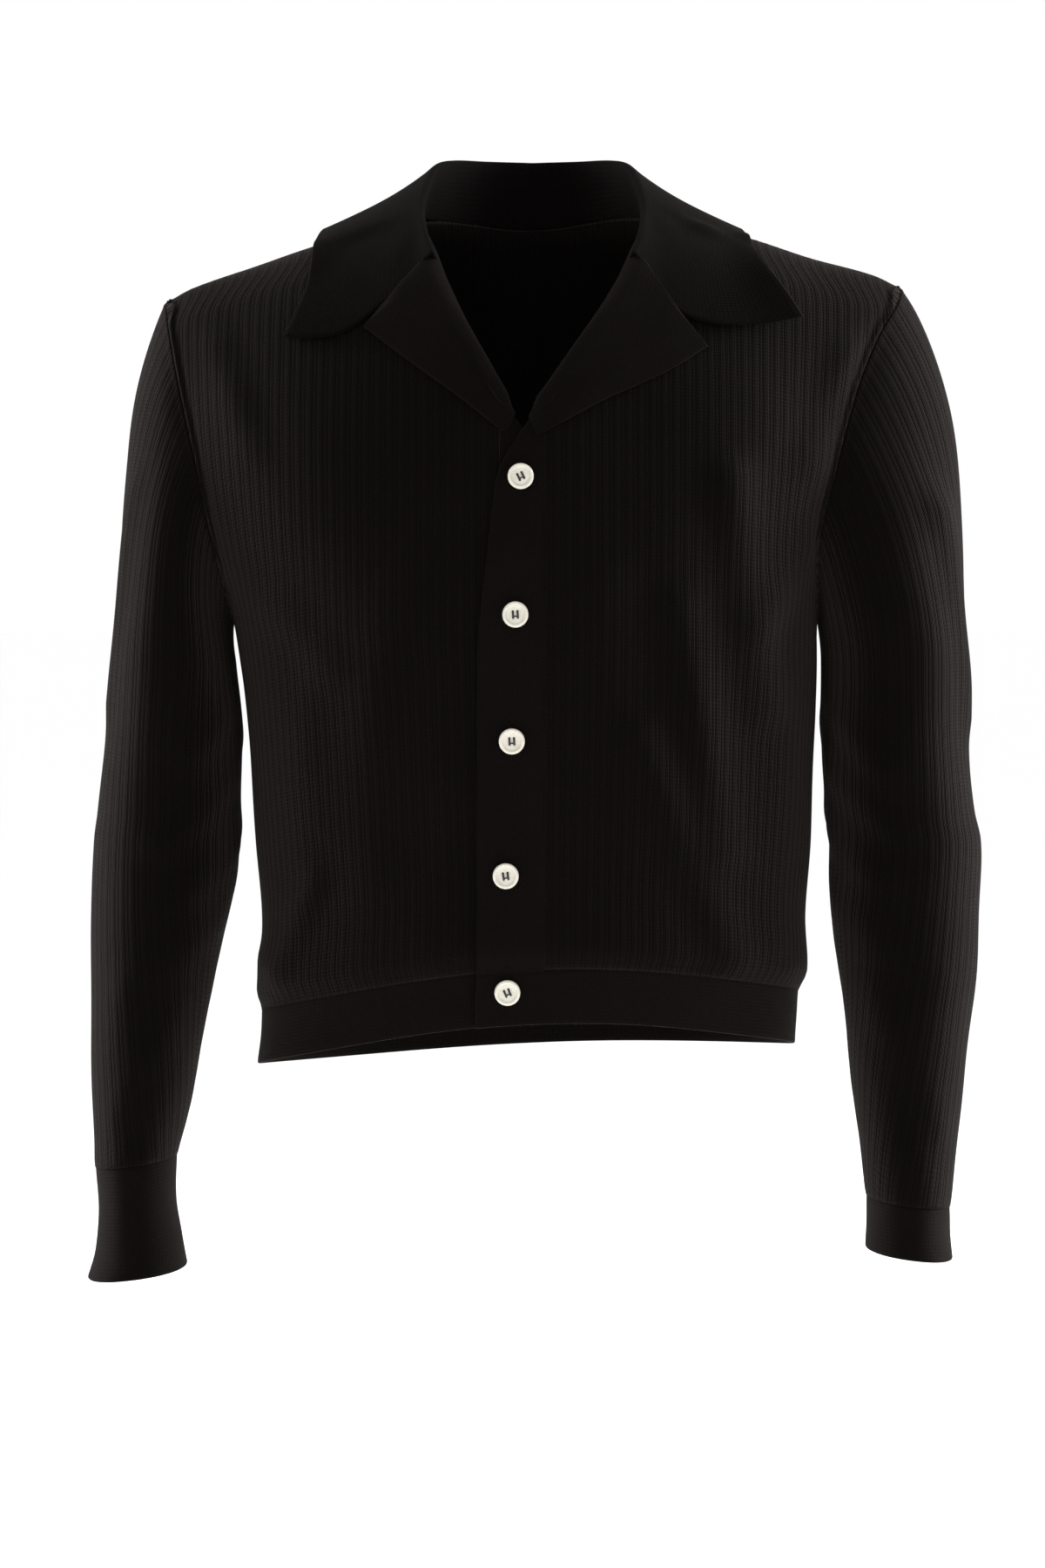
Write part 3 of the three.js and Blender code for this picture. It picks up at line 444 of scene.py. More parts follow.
def make_mesh(name, points, faces, uvs, material):
    mesh = bpy.data.meshes.new(name)
    mesh.from_pydata([tuple(p) for p in points * MM], [], faces)
    layer = mesh.uv_layers.new(name="knit")
    corners = np.empty(len(mesh.loops), dtype=np.int32)
    mesh.loops.foreach_get("vertex_index", corners)
    layer.data.foreach_set("uv", (uvs[corners] * UV_UNIT).ravel())
    mesh.materials.append(material)
    work = bmesh.new()
    work.from_mesh(mesh)
    bmesh.ops.remove_doubles(work, verts=work.verts, dist=WELD)
    bmesh.ops.dissolve_degenerate(work, edges=work.edges, dist=SHORTEST_EDGE)
    bmesh.ops.recalc_face_normals(work, faces=work.faces)
    work.to_mesh(mesh)
    work.free()
    mesh.shade_smooth()
    piece = bpy.data.objects.new(name, mesh)
    bpy.context.collection.objects.link(piece)
    return piece


def wall_piece(name, outer, inner, uv_out, uv_in, material, ring=False):
    """A closed wall from a fine outer grid and a coarser inner one, zipped together along its rims."""
    number_out = numbered(outer)
    number_in = numbered(inner, number_out.size)
    if ring:
        number_out, number_in = wrapped(number_out), wrapped(number_in)
    faces = quads(number_out) + quads(number_in, flip=True)
    o, n = number_out.tolist(), number_in.tolist()
    zip_lines(n[0], o[0], faces)
    zip_lines(o[-1], n[-1], faces)
    if not ring:
        zip_lines([r[0] for r in o], [r[0] for r in n], faces)
        zip_lines([r[-1] for r in n], [r[-1] for r in o], faces)
    points = np.concatenate([outer.reshape(-1, 3), inner.reshape(-1, 3)])
    uvs = np.concatenate([uv_out.reshape(-1, 2), uv_in.reshape(-1, 2)])
    return make_mesh(name, points, faces, uvs, material)


def turned(middle, start, reach, angles):
    """Points of a rounded edge, from its start about its middle."""
    return [middle + (start - middle) * math.cos(t) + reach * math.sin(t) for t in angles]


def folded_piece(name, outer, inner, uv, material, closed=False):
    """A plain-knit piece with rounded edges, from its outer and inner grids (stations by places across)."""
    wide, turns = outer.shape[1], len(EDGE_TURNS)

    def turn_over(a, b, along):
        half = np.linalg.norm(b - a, axis=-1, keepdims=True) / 2
        return turned((a + b) / 2, a, unit(along) * half, EDGE_TURNS)

    far = turn_over(outer[:, -1], inner[:, -1], outer[:, -1] - outer[:, -2])
    near = turn_over(inner[:, 0], outer[:, 0], inner[:, 0] - inner[:, 1])
    rings = np.stack([*outer.swapaxes(0, 1), *far, *inner.swapaxes(0, 1)[::-1], *near], axis=1)
    across = np.arange(wide)
    pair = np.concatenate([across, np.full(turns, wide - 1), across[::-1], np.zeros(turns, int)])
    ring_uv = uv[:, pair]
    if not closed:
        def cap(s, towards):
            middle = ((outer[s] + inner[s]) / 2)[pair]
            half = (np.linalg.norm(outer[s] - inner[s], axis=-1) / 2)[pair][:, None]
            return turned(middle, rings[s], unit(rings[s] - rings[towards]) * half, CAP_TURNS)

        start, end = cap(0, 1), cap(-1, -2)
        rings = np.concatenate([np.stack(start[::-1]), rings, np.stack(end)])
        ring_uv = np.concatenate([ring_uv[:1], ring_uv[:1], ring_uv, ring_uv[-1:], ring_uv[-1:]])
    numbers = wrapped(numbered(rings))
    if closed:
        numbers = wrapped(numbers, 0)
    faces = quads(numbers)
    if not closed:
        for s, flip in ((0, False), (-1, True)):
            line = numbers[s, :-1].tolist()
            side_a, side_b = line[:wide], line[wide + turns:2 * wide + turns][::-1]
            ends = quads(np.array([side_a, side_b]))
            ends.append((side_a[-1], *line[wide:wide + turns], side_b[-1]))
            ends.append((side_b[0], *line[2 * wide + turns:], side_a[0]))
            faces += [f[::-1] if flip else f for f in ends]
    return make_mesh(name, rings.reshape(-1, 3), faces, ring_uv.reshape(-1, 2), material)


def refine(grid, axis, count):
    """Sets a grid out again along one axis, at even shares of its smooth line through the given points."""
    grid = np.moveaxis(grid, axis, 0)
    n = len(grid)
    slopes = np.gradient(grid, axis=0)
    at = np.linspace(0, n - 1, count)
    i = np.clip(at.astype(int), 0, n - 2)
    t = (at - i).reshape((-1,) + (1,) * (grid.ndim - 1))
    return np.moveaxis(hermite(grid[i], grid[i + 1], slopes[i], slopes[i + 1], t), 0, axis)


def unevenness(points, height, pitch):
    """Slow soft waves of a hand-worn cloth, never the same twice."""
    x, y, z = (points[..., k] / pitch for k in range(3))
    wave = np.sin(x * 1.9 + 1.3 * np.sin(z * 0.7 + 0.4)) * np.cos(z * 1.1 + 0.9 * np.sin(y * 1.3))
    wave += 0.6 * np.sin(z * 2.3 + x * 0.8 + 2.1 * np.sin(y * 0.9 + 1.7))
    return height * wave / 1.6


# Materials

WALE, COURSE = 1.725, 2.1
SHADE_GROOVE_AT, SHADE_GROOVE_HALF = 1.2, 0.42
BLACK_LOW, BLACK_HIGH = (0.0028, 0.0020, 0.0018), (0.0042, 0.0031, 0.0028)
# Black that the knit's colour is taken towards between its stitch legs and in its rib grooves: painted shade.
PAINTED_SHADE_BLACK = (0.0006, 0.0005, 0.0005)


class Nodes:
    """Builds one material."""

    def __init__(self, name):
        self.material = bpy.data.materials.new(name)
        self.material.use_nodes = True
        self.tree = self.material.node_tree
        self.shader = self.tree.nodes["Principled BSDF"]
        self.place = self.add("TexCoord").outputs["Object"]

    def add(self, kind, *inputs, **settings):
        node = self.tree.nodes.new("ShaderNode" + kind)
        for key, value in settings.items():
            setattr(node, key, value)
        for i, value in enumerate(inputs):
            if hasattr(value, "links"):
                self.tree.links.new(value, node.inputs[i])
            elif value is not None:
                node.inputs[i].default_value = value
        return node

    def sum(self, operation, a, b=None, c=None):
        return self.add("Math", a, b, c, operation=operation).outputs[0]

    def times(self, a, b, plus=None):
        return self.sum("MULTIPLY" if plus is None else "MULTIPLY_ADD", a, b, plus)

    def off_middle(self, value, width):
        """Distance from the middle of each repeat, as a share of its width."""
        share = self.sum("FRACT", self.sum("DIVIDE", value, width))
        return self.sum("ABSOLUTE", self.sum("SUBTRACT", share, 0.5))

    def blend(self, share, low, high):
        node = self.add("Mix", data_type="RGBA")
        self.tree.links.new(share, node.inputs[0])
        for socket, value in ((node.inputs[6], low), (node.inputs[7], high)):
            if hasattr(value, "links"):
                self.tree.links.new(value, socket)
            else:
                socket.default_value = (*value, 1)
        return node.outputs[2]

    def noise(self, scale, detail, roughness):
        return self.add("TexNoise", self.place, None, scale, detail, roughness).outputs[0]

    def bump(self, height, strength, distance):
        node = self.add("Bump")
        node.inputs["Strength"].default_value = strength
        node.inputs["Distance"].default_value = distance
        self.tree.links.new(height, node.inputs["Height"])
        self.link(node.outputs[0], "Normal")

    def link(self, output, name):
        self.tree.links.new(output, self.shader.inputs[name])

    def set(self, values):
        for name, value in values.items():
            self.shader.inputs[name].default_value = value


def knit(name, ribbed, shade, sheen):
    """Black knit: ribbed or plain, with the share of light that it takes (lowered on the collar's copy as
    painted shade) and the strength of its nap.
    """
    n = Nodes(name)
    place = n.add("SeparateXYZ", n.add("UVMap", uv_map="knit").outputs[0])
    across, along = (n.times(place.outputs[k], 1 / UV_UNIT) for k in (0, 1))
    from_middle = n.off_middle(across, WALE)
    leg = n.sum("SINE", n.times(from_middle, 2 * math.pi))
    course = n.sum("ADD", n.sum("DIVIDE", along, COURSE), n.times(from_middle, 1.2))
    row = n.times(n.sum("COSINE", n.times(course, 2 * math.pi)), 0.25, 0.75)
    stitch = n.times(leg, row)
    nap, patch = n.noise(1400.0, 3.0, 0.6), n.noise(26.0, 3.0, 0.55)
    height = n.times(nap, 0.5, stitch)
    # The base colour darkens between the stitch legs: painted shade.
    painted_shading = n.times(stitch, 0.5, 0.5)
    if ribbed:
        off = n.times(n.off_middle(across, RIB_REPEAT), RIB_REPEAT)
        from_groove = n.sum("DIVIDE", n.sum("SUBTRACT", off, SHADE_GROOVE_AT), SHADE_GROOVE_HALF)
        groove = n.sum("EXPONENT", n.times(n.times(from_groove, from_groove), -1.0))
        height = n.times(groove, -0.75, height)
        # Darker again in each rib groove: painted shade.
        painted_shading = n.times(painted_shading, n.times(groove, -0.4, 1.0))
    n.bump(height, 0.8, 0.0005)
    low, high = (tuple(shade * c for c in colour) for colour in (BLACK_LOW, BLACK_HIGH))
    n.link(n.blend(painted_shading, PAINTED_SHADE_BLACK, n.blend(patch, low, high)), "Base Color")
    n.link(n.times(nap, 0.2, 0.74), "Roughness")
    n.set({
        "Specular IOR Level": 0.02, "Sheen Weight": sheen, "Sheen Roughness": 0.36,
        "Sheen Tint": (1.0, 0.82, 0.76, 1),
    })
    return n.material


def pearl():
    n = Nodes("button_pearl")
    cloud, fine = n.noise(190.0, 4.0, 0.6), n.noise(900.0, 2.0, 0.5)
    n.link(n.blend(cloud, (0.42, 0.39, 0.32), (0.60, 0.58, 0.51)), "Base Color")
    n.link(n.times(fine, 0.16, 0.2), "Roughness")
    n.bump(fine, 0.15, 0.0003)
    n.set({
        "Coat Weight": 0.35, "Coat Roughness": 0.12, "Subsurface Weight": 0.08,
        "Subsurface Radius": (0.003, 0.002, 0.0015),
    })
    return n.material


def thread():
    n = Nodes("thread_black")
    twist = n.add("TexWave", n.place, 1200.0, 1.0, wave_type="BANDS", bands_direction="DIAGONAL")
    n.link(n.blend(twist.outputs[1], (0.002, 0.0018, 0.0018), (0.006, 0.005, 0.005)), "Base Color")
    n.set({"Roughness": 0.7})
    return n.material


RIB_KNIT, PLAIN_KNIT = knit("knit_rib", True, 0.92, 0.037), knit("knit_plain", False, 1.1, 0.022)
# The collar's knit is the plain knit with its colour made darker: painted shade, standing in for light that
# falls on the collar from above.
COLLAR_KNIT_PAINTED_SHADE, PEARL, THREAD = knit("knit_collar_painted_shade", False, 0.65, 0.013), pearl(), thread()


def finish_cloth(piece, node):
    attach(piece, "root")
    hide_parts(node)


def finish_ribbed(node, outer, inner, wales, run, pick, ring=False):
    """A ribbed piece, with the places picked for its inner face."""
    uv = stack(wales, run, 0)[..., :2]
    piece = wall_piece(f"cloth_{node}", outer, inner[pick], uv, uv[pick], RIB_KNIT, ring)
    finish_cloth(piece, node)


def finish_plain(node, outer, inner, uv, material=PLAIN_KNIT, closed=False):
    finish_cloth(folded_piece(f"cloth_{node}", outer, inner, uv, material, closed), node)


def finish_round(node, grid, away, height, pitch, closed=False):
    """A plain piece round the body or a wrist, uneven between its two edges."""
    wave = unevenness(grid, height, pitch) * np.sin(np.linspace(0, np.pi, grid.shape[1]))
    outer, inner = grid + away * wave[..., None], grid - away * PLAIN_WALL
    finish_plain(node, outer, inner, arc_uv(grid)[..., ::-1], closed=closed)


# Ribbed body

COLUMNS_TO_RIB = 10
INNER_ROWS, INNER_COLUMNS = 3, 10        # the inner faces take every third row and tenth column
GROOVE_AT, GROOVE_HALF = 1.25, 0.62      # from the middle of the narrow rib
RIDGE_AT, RIDGE_HALF = 1.9, 1.3          # from the armhole's seam
LOW_ROWS, HIGH_ROWS = 54, 58
HALVINGS = 24
TOP_SETTLE = 0.88
WHOLE_SHARE = 1 - 1e-9
PAST_ALL_WALES = 999.0
RIM_TURN, SIDE_SEAM_FADE = 45, 30
FAR_FROM_SEAM = 99
SIDE_WEIGHT, FACE_WEIGHT = 0.3, 50       # of the two ways that say which side of a face is out


def rib_wave(run):
    """Height, from 0 to 1, of a broad and a narrow rib, with a thin groove on each side of the narrow."""
    off = np.abs((run / RIB_REPEAT) % 1 - 0.5) * RIB_REPEAT
    return 0.55 + 0.45 * smooth((off - 1.0) / 2.4) - 0.55 * hump(off, GROOVE_AT, GROOVE_HALF)


def even_out(line, reach=12):
    """Moving mean along a row of values, which keeps its ends."""
    if line.size <= 2 * reach:
        return line
    padded = np.pad(line[0], reach, mode="reflect", reflect_type="odd")
    return np.convolve(padded, np.ones(2 * reach + 1) / (2 * reach + 1), "valid")[None, :]


def body_rows(wales, side, face):
    """Place, height and share of the way round of each point: its columns follow the wales, which run
    straight up the body and end at the armhole, and its rows rise to the shoulder seam or neck edge."""
    wide_under = x_at(0, UNDERARM_Z, side, face)[1]
    low = np.linspace(SEAM_Z, UNDERARM_Z, LOW_ROWS + 1)[:-1, None] + 0 * wales
    under, over = np.full(wales.shape, UNDERARM_Z), np.full(wales.shape, NECK_TOP_Z)
    for _ in range(HALVINGS):
        middle = (under + over) / 2
        is_under = middle < top_at(x_at(wales, middle, side, face)[0], side, face)
        under, over = np.where(is_under, middle, under), np.where(is_under, over, middle)
    top_x = even_out(x_at(wales, under, side, face)[0])
    rise = ((1 - np.cos(np.linspace(0, np.pi, HIGH_ROWS + 1))) / 2)[:, None]
    high = UNDERARM_Z + (top_at(top_x, side, face) - UNDERARM_Z) * rise
    z = np.concatenate([low, high])
    around = x_at(0, high, side, face)[1]
    share = np.minimum(np.concatenate([low * 0 + wales / wide_under, wales / around]), 1)
    x = x_at(share, z, side, face, by_share=True)[0]
    rise = np.concatenate([np.zeros((LOW_ROWS, 1)), rise])
    near_top = smooth((rise - TOP_SETTLE) / (1 - TOP_SETTLE))
    edge = edge_at(z, side, face)
    return np.where(share > WHOLE_SHARE, edge, np.clip(mix(x, top_x, near_top), 0, edge)), share, z


def body_normals(x, share, z, side, face):
    here = surface_at(x, z, share, side, face)
    beside = np.where(share > 0.5, -1.0, 1.0)
    across = (surface_at(np.maximum(x + beside, 0), z, share, side, face) - here) / beside[..., None]
    along = here - surface_at(x, z - 1, share, side, face)
    away = unit(np.cross(across, along))
    facing = away[..., 0] * here[..., 0] * SIDE_WEIGHT + away[..., 1] * outward(face) * FACE_WEIGHT
    return away * np.where(facing < 0, -1, 1)[..., None]


def armhole_rim(points, side, towards_sleeve):
    """Way from the outer to the inner point of a rim at the armhole."""
    middle_x, middle_z = ARMHOLE_MIDDLE
    inward = np.array([sign(side) * middle_x, 0, middle_z]) - points
    inward[..., 0] = 0
    share = smooth((points[..., 2] - UNDERARM_Z) / RIM_TURN)[..., None]
    return unit(mix(np.array([sign(side) * towards_sleeve, 0, 0]), unit(inward), share))


def armhole_heights(side, face):
    return body_rows(np.array([[PAST_ALL_WALES]]), side, face)[2][:, 0]


def body_grid(side, face, from_share):
    """Points of a body face's half, with the ways out and inwards, the wales and the run to the armhole."""
    wide_under = float(x_at(0, UNDERARM_Z, side, face)[1])
    armhole_z = armhole_heights(side, face)
    first, last = from_share * wide_under, float(x_at(0, armhole_z, side, face)[1].max())
    wales = np.linspace(first, last, round((last - first) / RIB_REPEAT * COLUMNS_TO_RIB) + 1)[None, :]
    x, share, z = body_rows(wales, side, face)
    points = surface_at(x, z, share, side, face)
    away = body_normals(x, share, z, side, face)
    towards, at_edge = outward(face), share > WHOLE_SHARE
    points[..., 1] += at_edge * towards * SEAM_GAP / 2 * (1 - smooth((z - UNDERARM_Z) / SIDE_SEAM_FADE))
    points[-1, :, 1] = towards * np.maximum(np.abs(points[-1, :, 1]), SEAM_GAP / 2)
    by_armhole = (z > UNDERARM_Z)[..., None]
    rim = np.where(by_armhole, armhole_rim(points, side, -1), np.array([-sign(side), 0, 0]))
    to_inner = np.where(at_edge[..., None], rim, -away)
    around = x_at(0, z, side, face)[1]
    to_armhole = np.where(z > UNDERARM_Z, around * (1 - share), FAR_FROM_SEAM)
    return points, away, to_inner, sign(side) * np.broadcast_to(wales, z.shape), to_armhole


def body_panel(node, grids, creases, has_free_edge):
    points, away, to_inner, wales, to_armhole = (np.concatenate(parts, axis=1) for parts in zip(*grids))
    run = run_along(points)
    to_top = run[-1] - run
    bulge = crease_sum(creases, points[..., 0], points[..., 2]) + unevenness(points, 0.7, 34)
    rim = smooth(run / 3) * smooth(to_top / 9)
    if has_free_edge:
        rim = rim * smooth(run_along(points.swapaxes(0, 1)).T / 3)
    ridge = 1.3 * hump(to_armhole, RIDGE_AT, RIDGE_HALF) - 0.5 * hump(to_armhole, 5.5, 2)
    base = points + away * (bulge * rim * smooth(to_armhole / 18))[..., None]
    ribs = RIB_RELIEF * rib_wave(wales) * rim * smooth(to_armhole / 5)
    outer = base + away * (ribs + ridge * smooth(to_top / 4))[..., None]
    pick = np.ix_(coarse(len(points), INNER_ROWS), coarse(points.shape[1], INNER_COLUMNS))
    finish_ribbed(node, outer, base + to_inner * WALL, wales, run, pick)


SEAM_HALF = {"left": BAND_SEAM_X, "right": -UNDER_BAND_X}
edge_share = {side: share_at_seam(half, side) for side, half in SEAM_HALF.items()}
for side in ("left", "right"):
    grid = body_grid(side, "front", edge_share[side])
    body_panel(f"front_{side}", [grid], FRONT_CREASES, has_free_edge=True)
right_half = [a[:, ::-1] for a in body_grid("right", "back", 0)]
left_half = [a[:, 1:] for a in body_grid("left", "back", 0)]
body_panel("back", [right_half, left_half], BACK_CREASES, has_free_edge=False)


# Front bands

UNDER_BAND_TOP = -118
FRONT_HINT = (0, -1, 0.2)


def panel_edge_at(z, side):
    """Half width to a front's free edge, which follows a wale above the underarm."""
    wide_under = x_at(0, UNDERARM_Z, side, "front")[1]
    around = x_at(0, z, side, "front")[1]
    share = edge_share[side] * np.where(z > UNDERARM_Z, wide_under / around, 1)
    return x_at(share, z, side, "front", by_share=True)[0]


def band(side, columns, rows=110):
    v = np.linspace(0, 1, rows + 1)[:, None]
    u = np.linspace(0, 1, columns + 1)[None, :]
    seam_z = mix(SEAM_Z, float(top_at(SEAM_HALF[side], side, "front")), v)
    seam_x = sign(side) * panel_edge_at(seam_z, side)
    if side == "left":
        free_z, out = mix(SEAM_Z, OPENING["z"][-1], v), OVERLAP_LIFT
        x, z = mix(read(OPENING, free_z, "x"), seam_x, u), mix(free_z, seam_z, u)
    else:
        free_z, out = mix(SEAM_Z, UNDER_BAND_TOP, v), 0
        x, z = mix(seam_x, BAND_SEAM_X - 1, u), mix(seam_z, free_z, u)
    grid = front_at(x, z, np.full(x.shape, out))
    away = grid_normals(grid, hint=FRONT_HINT)
    outer = grid + away * unevenness(grid, 0.3, 22)[..., None]
    finish_plain(f"band_{side}", outer, grid - away * PLAIN_WALL, arc_uv(grid))


band("left", 18)
band("right", 10)


# Waistband

WAIST_UNDER_END, WAIST_JOIN = 5, 40.0


def waist_grid(rows=12):
    """Stations round the waist, from the end under the opening to the end over it, by places down."""
    z = (SEAM_Z - WAISTBAND_GAP - np.linspace(0, WAISTBAND_HEIGHT, rows + 1))[None, :]
    x = np.linspace(WAIST_UNDER_END, -WAIST_JOIN, 24)[:-1, None]
    strips = [front_at(x + 0 * z, z + 0 * x, np.zeros((len(x), z.shape[1])))]
    for side, face, a, b, n in (
        ("right", "front", share_at_seam(WAIST_JOIN, "right"), 1, 84), ("right", "back", 1, 0, 100),
        ("left", "back", 0, 1, 100), ("left", "front", 1, share_at_seam(WAIST_JOIN, "left"), 84),
    ):
        share = np.linspace(a, b, n + 1)[:-1, None] + 0 * z
        strips.append(body_surface(share, z + 0 * share, side, face))
    t = np.linspace(0, 1, 42)[:, None]
    x = mix(WAIST_JOIN, read(OPENING, z, "x"), t)
    lift = np.where(x > 0, lift_at(np.maximum(x, BAND_SEAM_X), "left"), OVERLAP_LIFT)
    strips.append(front_at(x, z + 0 * x, lift))
    return np.concatenate(strips)


grid = waist_grid()
finish_round("waistband", grid, grid_normals(grid, hint=grid * np.array([1, 1, 0])), 0.5, 20)


# Lapels

LAPEL_FOOT, FOOT_SIZE = 0.16, 0.3
TUCK_FROM, TUCK_FADE = 0.4, 0.25
TUCKED_OUTER, TUCKED_INNER = 1.3, 0.3
WHOLE_BELLY = 40
LAPEL_PLACES = 44


def lapel(side, stations=90):
    at = np.linspace(0, 1, 31)
    tuck = np.linspace(0, 1, 14)[1:]
    roll_x, edge_x, edge_z = (
        np.concatenate([read(LAPEL[side], at, key), mix(LAPEL[side][key][-1], end, tuck)])
        for key, end in zip(("rollX", "edgeX", "edgeZ"), LAPEL_TUCK[side])
    )
    tucked = smooth((np.concatenate([0 * at, tuck]) - TUCK_FROM) / TUCK_FADE)
    at = np.concatenate([at, np.ones(len(tuck))])
    whole = mix(FOOT_SIZE, 1, smooth(at / LAPEL_FOOT))
    roll_z = by_side(roll_x, lambda half, side: top_at(half, side, "front"))
    across = stack(edge_x - roll_x, 0, edge_z - roll_z)
    width = np.linalg.norm(across, axis=1)
    across = across / width[:, None]
    wrap = 1 - 0.9 * smooth((at - WRAP_FADE) / (1 - WRAP_FADE))

    def place(reach, height, is_outer):
        height = mix(height, np.minimum(height, TUCKED_OUTER if is_outer else TUCKED_INNER), tucked)
        x, z = roll_x + across[:, 0] * reach, roll_z + across[:, 2] * reach
        lift = lift_at(x, "left") if side == "left" else 0
        return front_at(x, z, height + lift)

    def line(is_outer):
        places = []
        for reach, over, under, under_reach in HOOK:
            height = (mix(under, over, whole) if is_outer else under) * whole
            short = (1 - wrap) * (4 if over < 0 else 1.2)
            reach = (reach if is_outer else under_reach) * whole - short
            places.append(place(reach, height * (wrap if over < 0 else 1), is_outer))
        for share in (0.3, 0.65, 1):
            belly = LAPEL_BELLY * math.sin(math.pi * share) * np.minimum(width / WHOLE_BELLY, 1)
            stand = RIB_RELIEF + 0.5 + belly
            places.append(place(width * share, (stand + (PLAIN_WALL if is_outer else 0)) * whole, is_outer))
        grid = np.stack(places, axis=1)
        return refine(refine(grid, 1, LAPEL_PLACES), 0, stations)

    outer = line(True)
    finish_plain(f"lapel_{side}", outer, line(False), arc_uv(outer))


for side in ("left", "right"):
    lapel(side)


# Collar

# How far the stand ends within and below the roll, and how far the roll's inner face lies within
STAND_IN, STAND_DOWN, ROLL_IN = 1.5, 3, 0.4
BESIDE, FALL_STEP = 0.02, 0.05
COLLAR_PLACES, COLLAR_STATIONS = 52, 230
COLLAR_HINT = (0, 0, 30)


def any_depth(x, y, z):
    """Depth of the body in front of or behind any place."""
    front, back = (by_side(x, lambda half, side: depth_at(half, z, side, face)) for face in ("front", "back"))
    return np.where(y < 0, front, back)


def clear_of_body(p, clear):
    """Points moved square to the body until they clear it."""
    for _ in range(4):
        x, y, z = p[..., 0], p[..., 1], p[..., 2]
        half, beyond, towards = np.abs(x), np.sign(x), np.where(y < 0, -1, 1)
        nearer, farther = beyond * np.maximum(half - 1, 0), beyond * (half + 1)
        slope_x = (any_depth(farther, y, z) - any_depth(nearer, y, z)) / 2
        slope_z = (any_depth(x, y, z + 1) - any_depth(x, y, z - 1)) / 2
        shoulder = by_side(x, lambda half, side: read(SHOULDER, np.minimum(half, SHOULDER_END), side))
        over = np.maximum(z - shoulder, 0)
        deep = any_depth(x, y, z)
        apart = np.hypot((np.abs(y) - deep) / np.sqrt(1 + slope_x ** 2 + slope_z ** 2), over)
        short = np.maximum(clear - np.where(np.abs(y) < deep, -apart, apart), 0)
        p = p + unit(stack(-slope_x * beyond, towards, -slope_z)) * short[..., None]
    return p


def collar_half(side, at, is_outer):
    def section(at):
        roll, edge = (points_in(COLLAR, at, names) for names in ("rollX rollY rollZ", "edgeX edgeY edgeZ"))
        flip = np.array([sign(side), 1, 1])
        towards_end = smooth((at - (1 - END_BLEND)) / END_BLEND)

        def fall(share, clear):
            p = mix(roll, edge, share)
            for k, key in ((0, "X"), (2, "Z")):
                last = mix(COLLAR["roll" + key][-1], COLLAR["edge" + key][-1], share)
                p[:, k] += (float(read(COLLAR_END[side], share, key.lower())) - last) * towards_end
            over_front = np.minimum(p[:, 1], -depth_at(p[:, 0], p[:, 2], side, "front") - clear)
            p[:, 1] = np.where(p[:, 1] < 0, mix(p[:, 1], over_front, towards_end), p[:, 1])
            return clear_of_body(p * flip, clear)

        return points_in(STAND, at, "x y z") * flip, roll * flip, fall

    foot, top, fall = section(at)
    beside = np.where(at > 0.5, -BESIDE, BESIDE)
    fall_beside = section(at + beside)[2]
    away = fall(0.5, 0) - top
    away[:, 2] = 0
    away = unit(away)
    up = np.array([0, 0, 1.0])
    half = -PLAIN_WALL / 2 if is_outer else PLAIN_WALL / 2
    stand_top = top - away * STAND_IN - up * STAND_DOWN
    places = [mix(foot, stand_top, share) + away * half for share in (0, 0.5, 1)]
    places.append(top if is_outer else top + away * ROLL_IN - up * PLAIN_WALL)
    clear = COLLAR_CLEAR + PLAIN_WALL
    for share in (0.1, 0.3, 0.55, 0.8, 1):
        p = fall(share, clear)
        if not is_outer:
            along = (fall_beside(share, clear) - p) / beside[:, None]
            step = FALL_STEP if share < 1 else -FALL_STEP
            down = (fall(share + step, clear) - p) / step
            square = unit(np.cross(down, along))
            facing = (square * (p * np.array([1, 1, 0]) + np.array(COLLAR_HINT))).sum(1)
            p = p - square * np.where(facing < 0, -1, 1)[:, None] * PLAIN_WALL
        places.append(p)
    return np.stack(places, axis=1)


def collar_grid(is_outer):
    at = np.linspace(0, 1, 27)
    right, left = collar_half("right", at, is_outer), collar_half("left", at, is_outer)
    return refine(refine(np.concatenate([right[::-1], left[1:]]), 1, COLLAR_PLACES), 0, COLLAR_STATIONS)


outer = collar_grid(True)
finish_plain("collar", outer, collar_grid(False), arc_uv(outer)[..., ::-1], COLLAR_KNIT_PAINTED_SHADE)


# Sleeves

SLEEVE_COLUMNS, CUFF_COLUMNS, CUFF_ROWS = 560, 160, 16
HEAD_ROWS, BELOW_ROWS = 54, 78
SIDE_FLARE, UNDER_FLARE, LEAVE_DEEP, LEAVE_DOWN = 0.45, 0.12, 0.12, 0.85
ARRIVE_OVER = 15
HEAD_SPACING = 1.25


def evenly(line, count):
    run = run_along(line)
    goal = np.linspace(0, run[-1], count + 1)
    return np.stack([np.interp(goal, run, line[:, k]) for k in range(3)], axis=1)


def close_ring(front, behind, count):
    return np.concatenate([evenly(front, count // 2), evenly(behind, count // 2)[::-1][1:-1]])


def armhole_ring(side, count):
    heights = {face: armhole_heights(side, face)[LOW_ROWS:][::-1] for face in ("front", "back")}
    halves = (body_surface(np.ones_like(z), z, side, face) for face, z in heights.items())
    return close_ring(*(half + np.array([sign(side) * ARMHOLE_OUT, 0, 0]) for half in halves), count)


def level_ring(rows, z, side, rise, count):
    outer, inner, mid, deep = (float(read(rows, z, key)) for key in ("outer", "inner", "mid", "deep"))
    power = 2 / SLEEVE_SQUARENESS
    angle = np.linspace(0, np.pi, 181)
    across = np.sign(np.cos(angle)) * np.abs(np.cos(angle)) ** power
    x = (outer + inner) / 2 + (outer - inner) / 2 * across
    deep_at = deep * np.sin(angle).clip(0) ** power
    z = z + rise * (1 - across) / 2
    halves = [stack(sign(side) * x, mid + towards * deep_at, z) for towards in (-1, 1)]
    return close_ring(*halves, count)


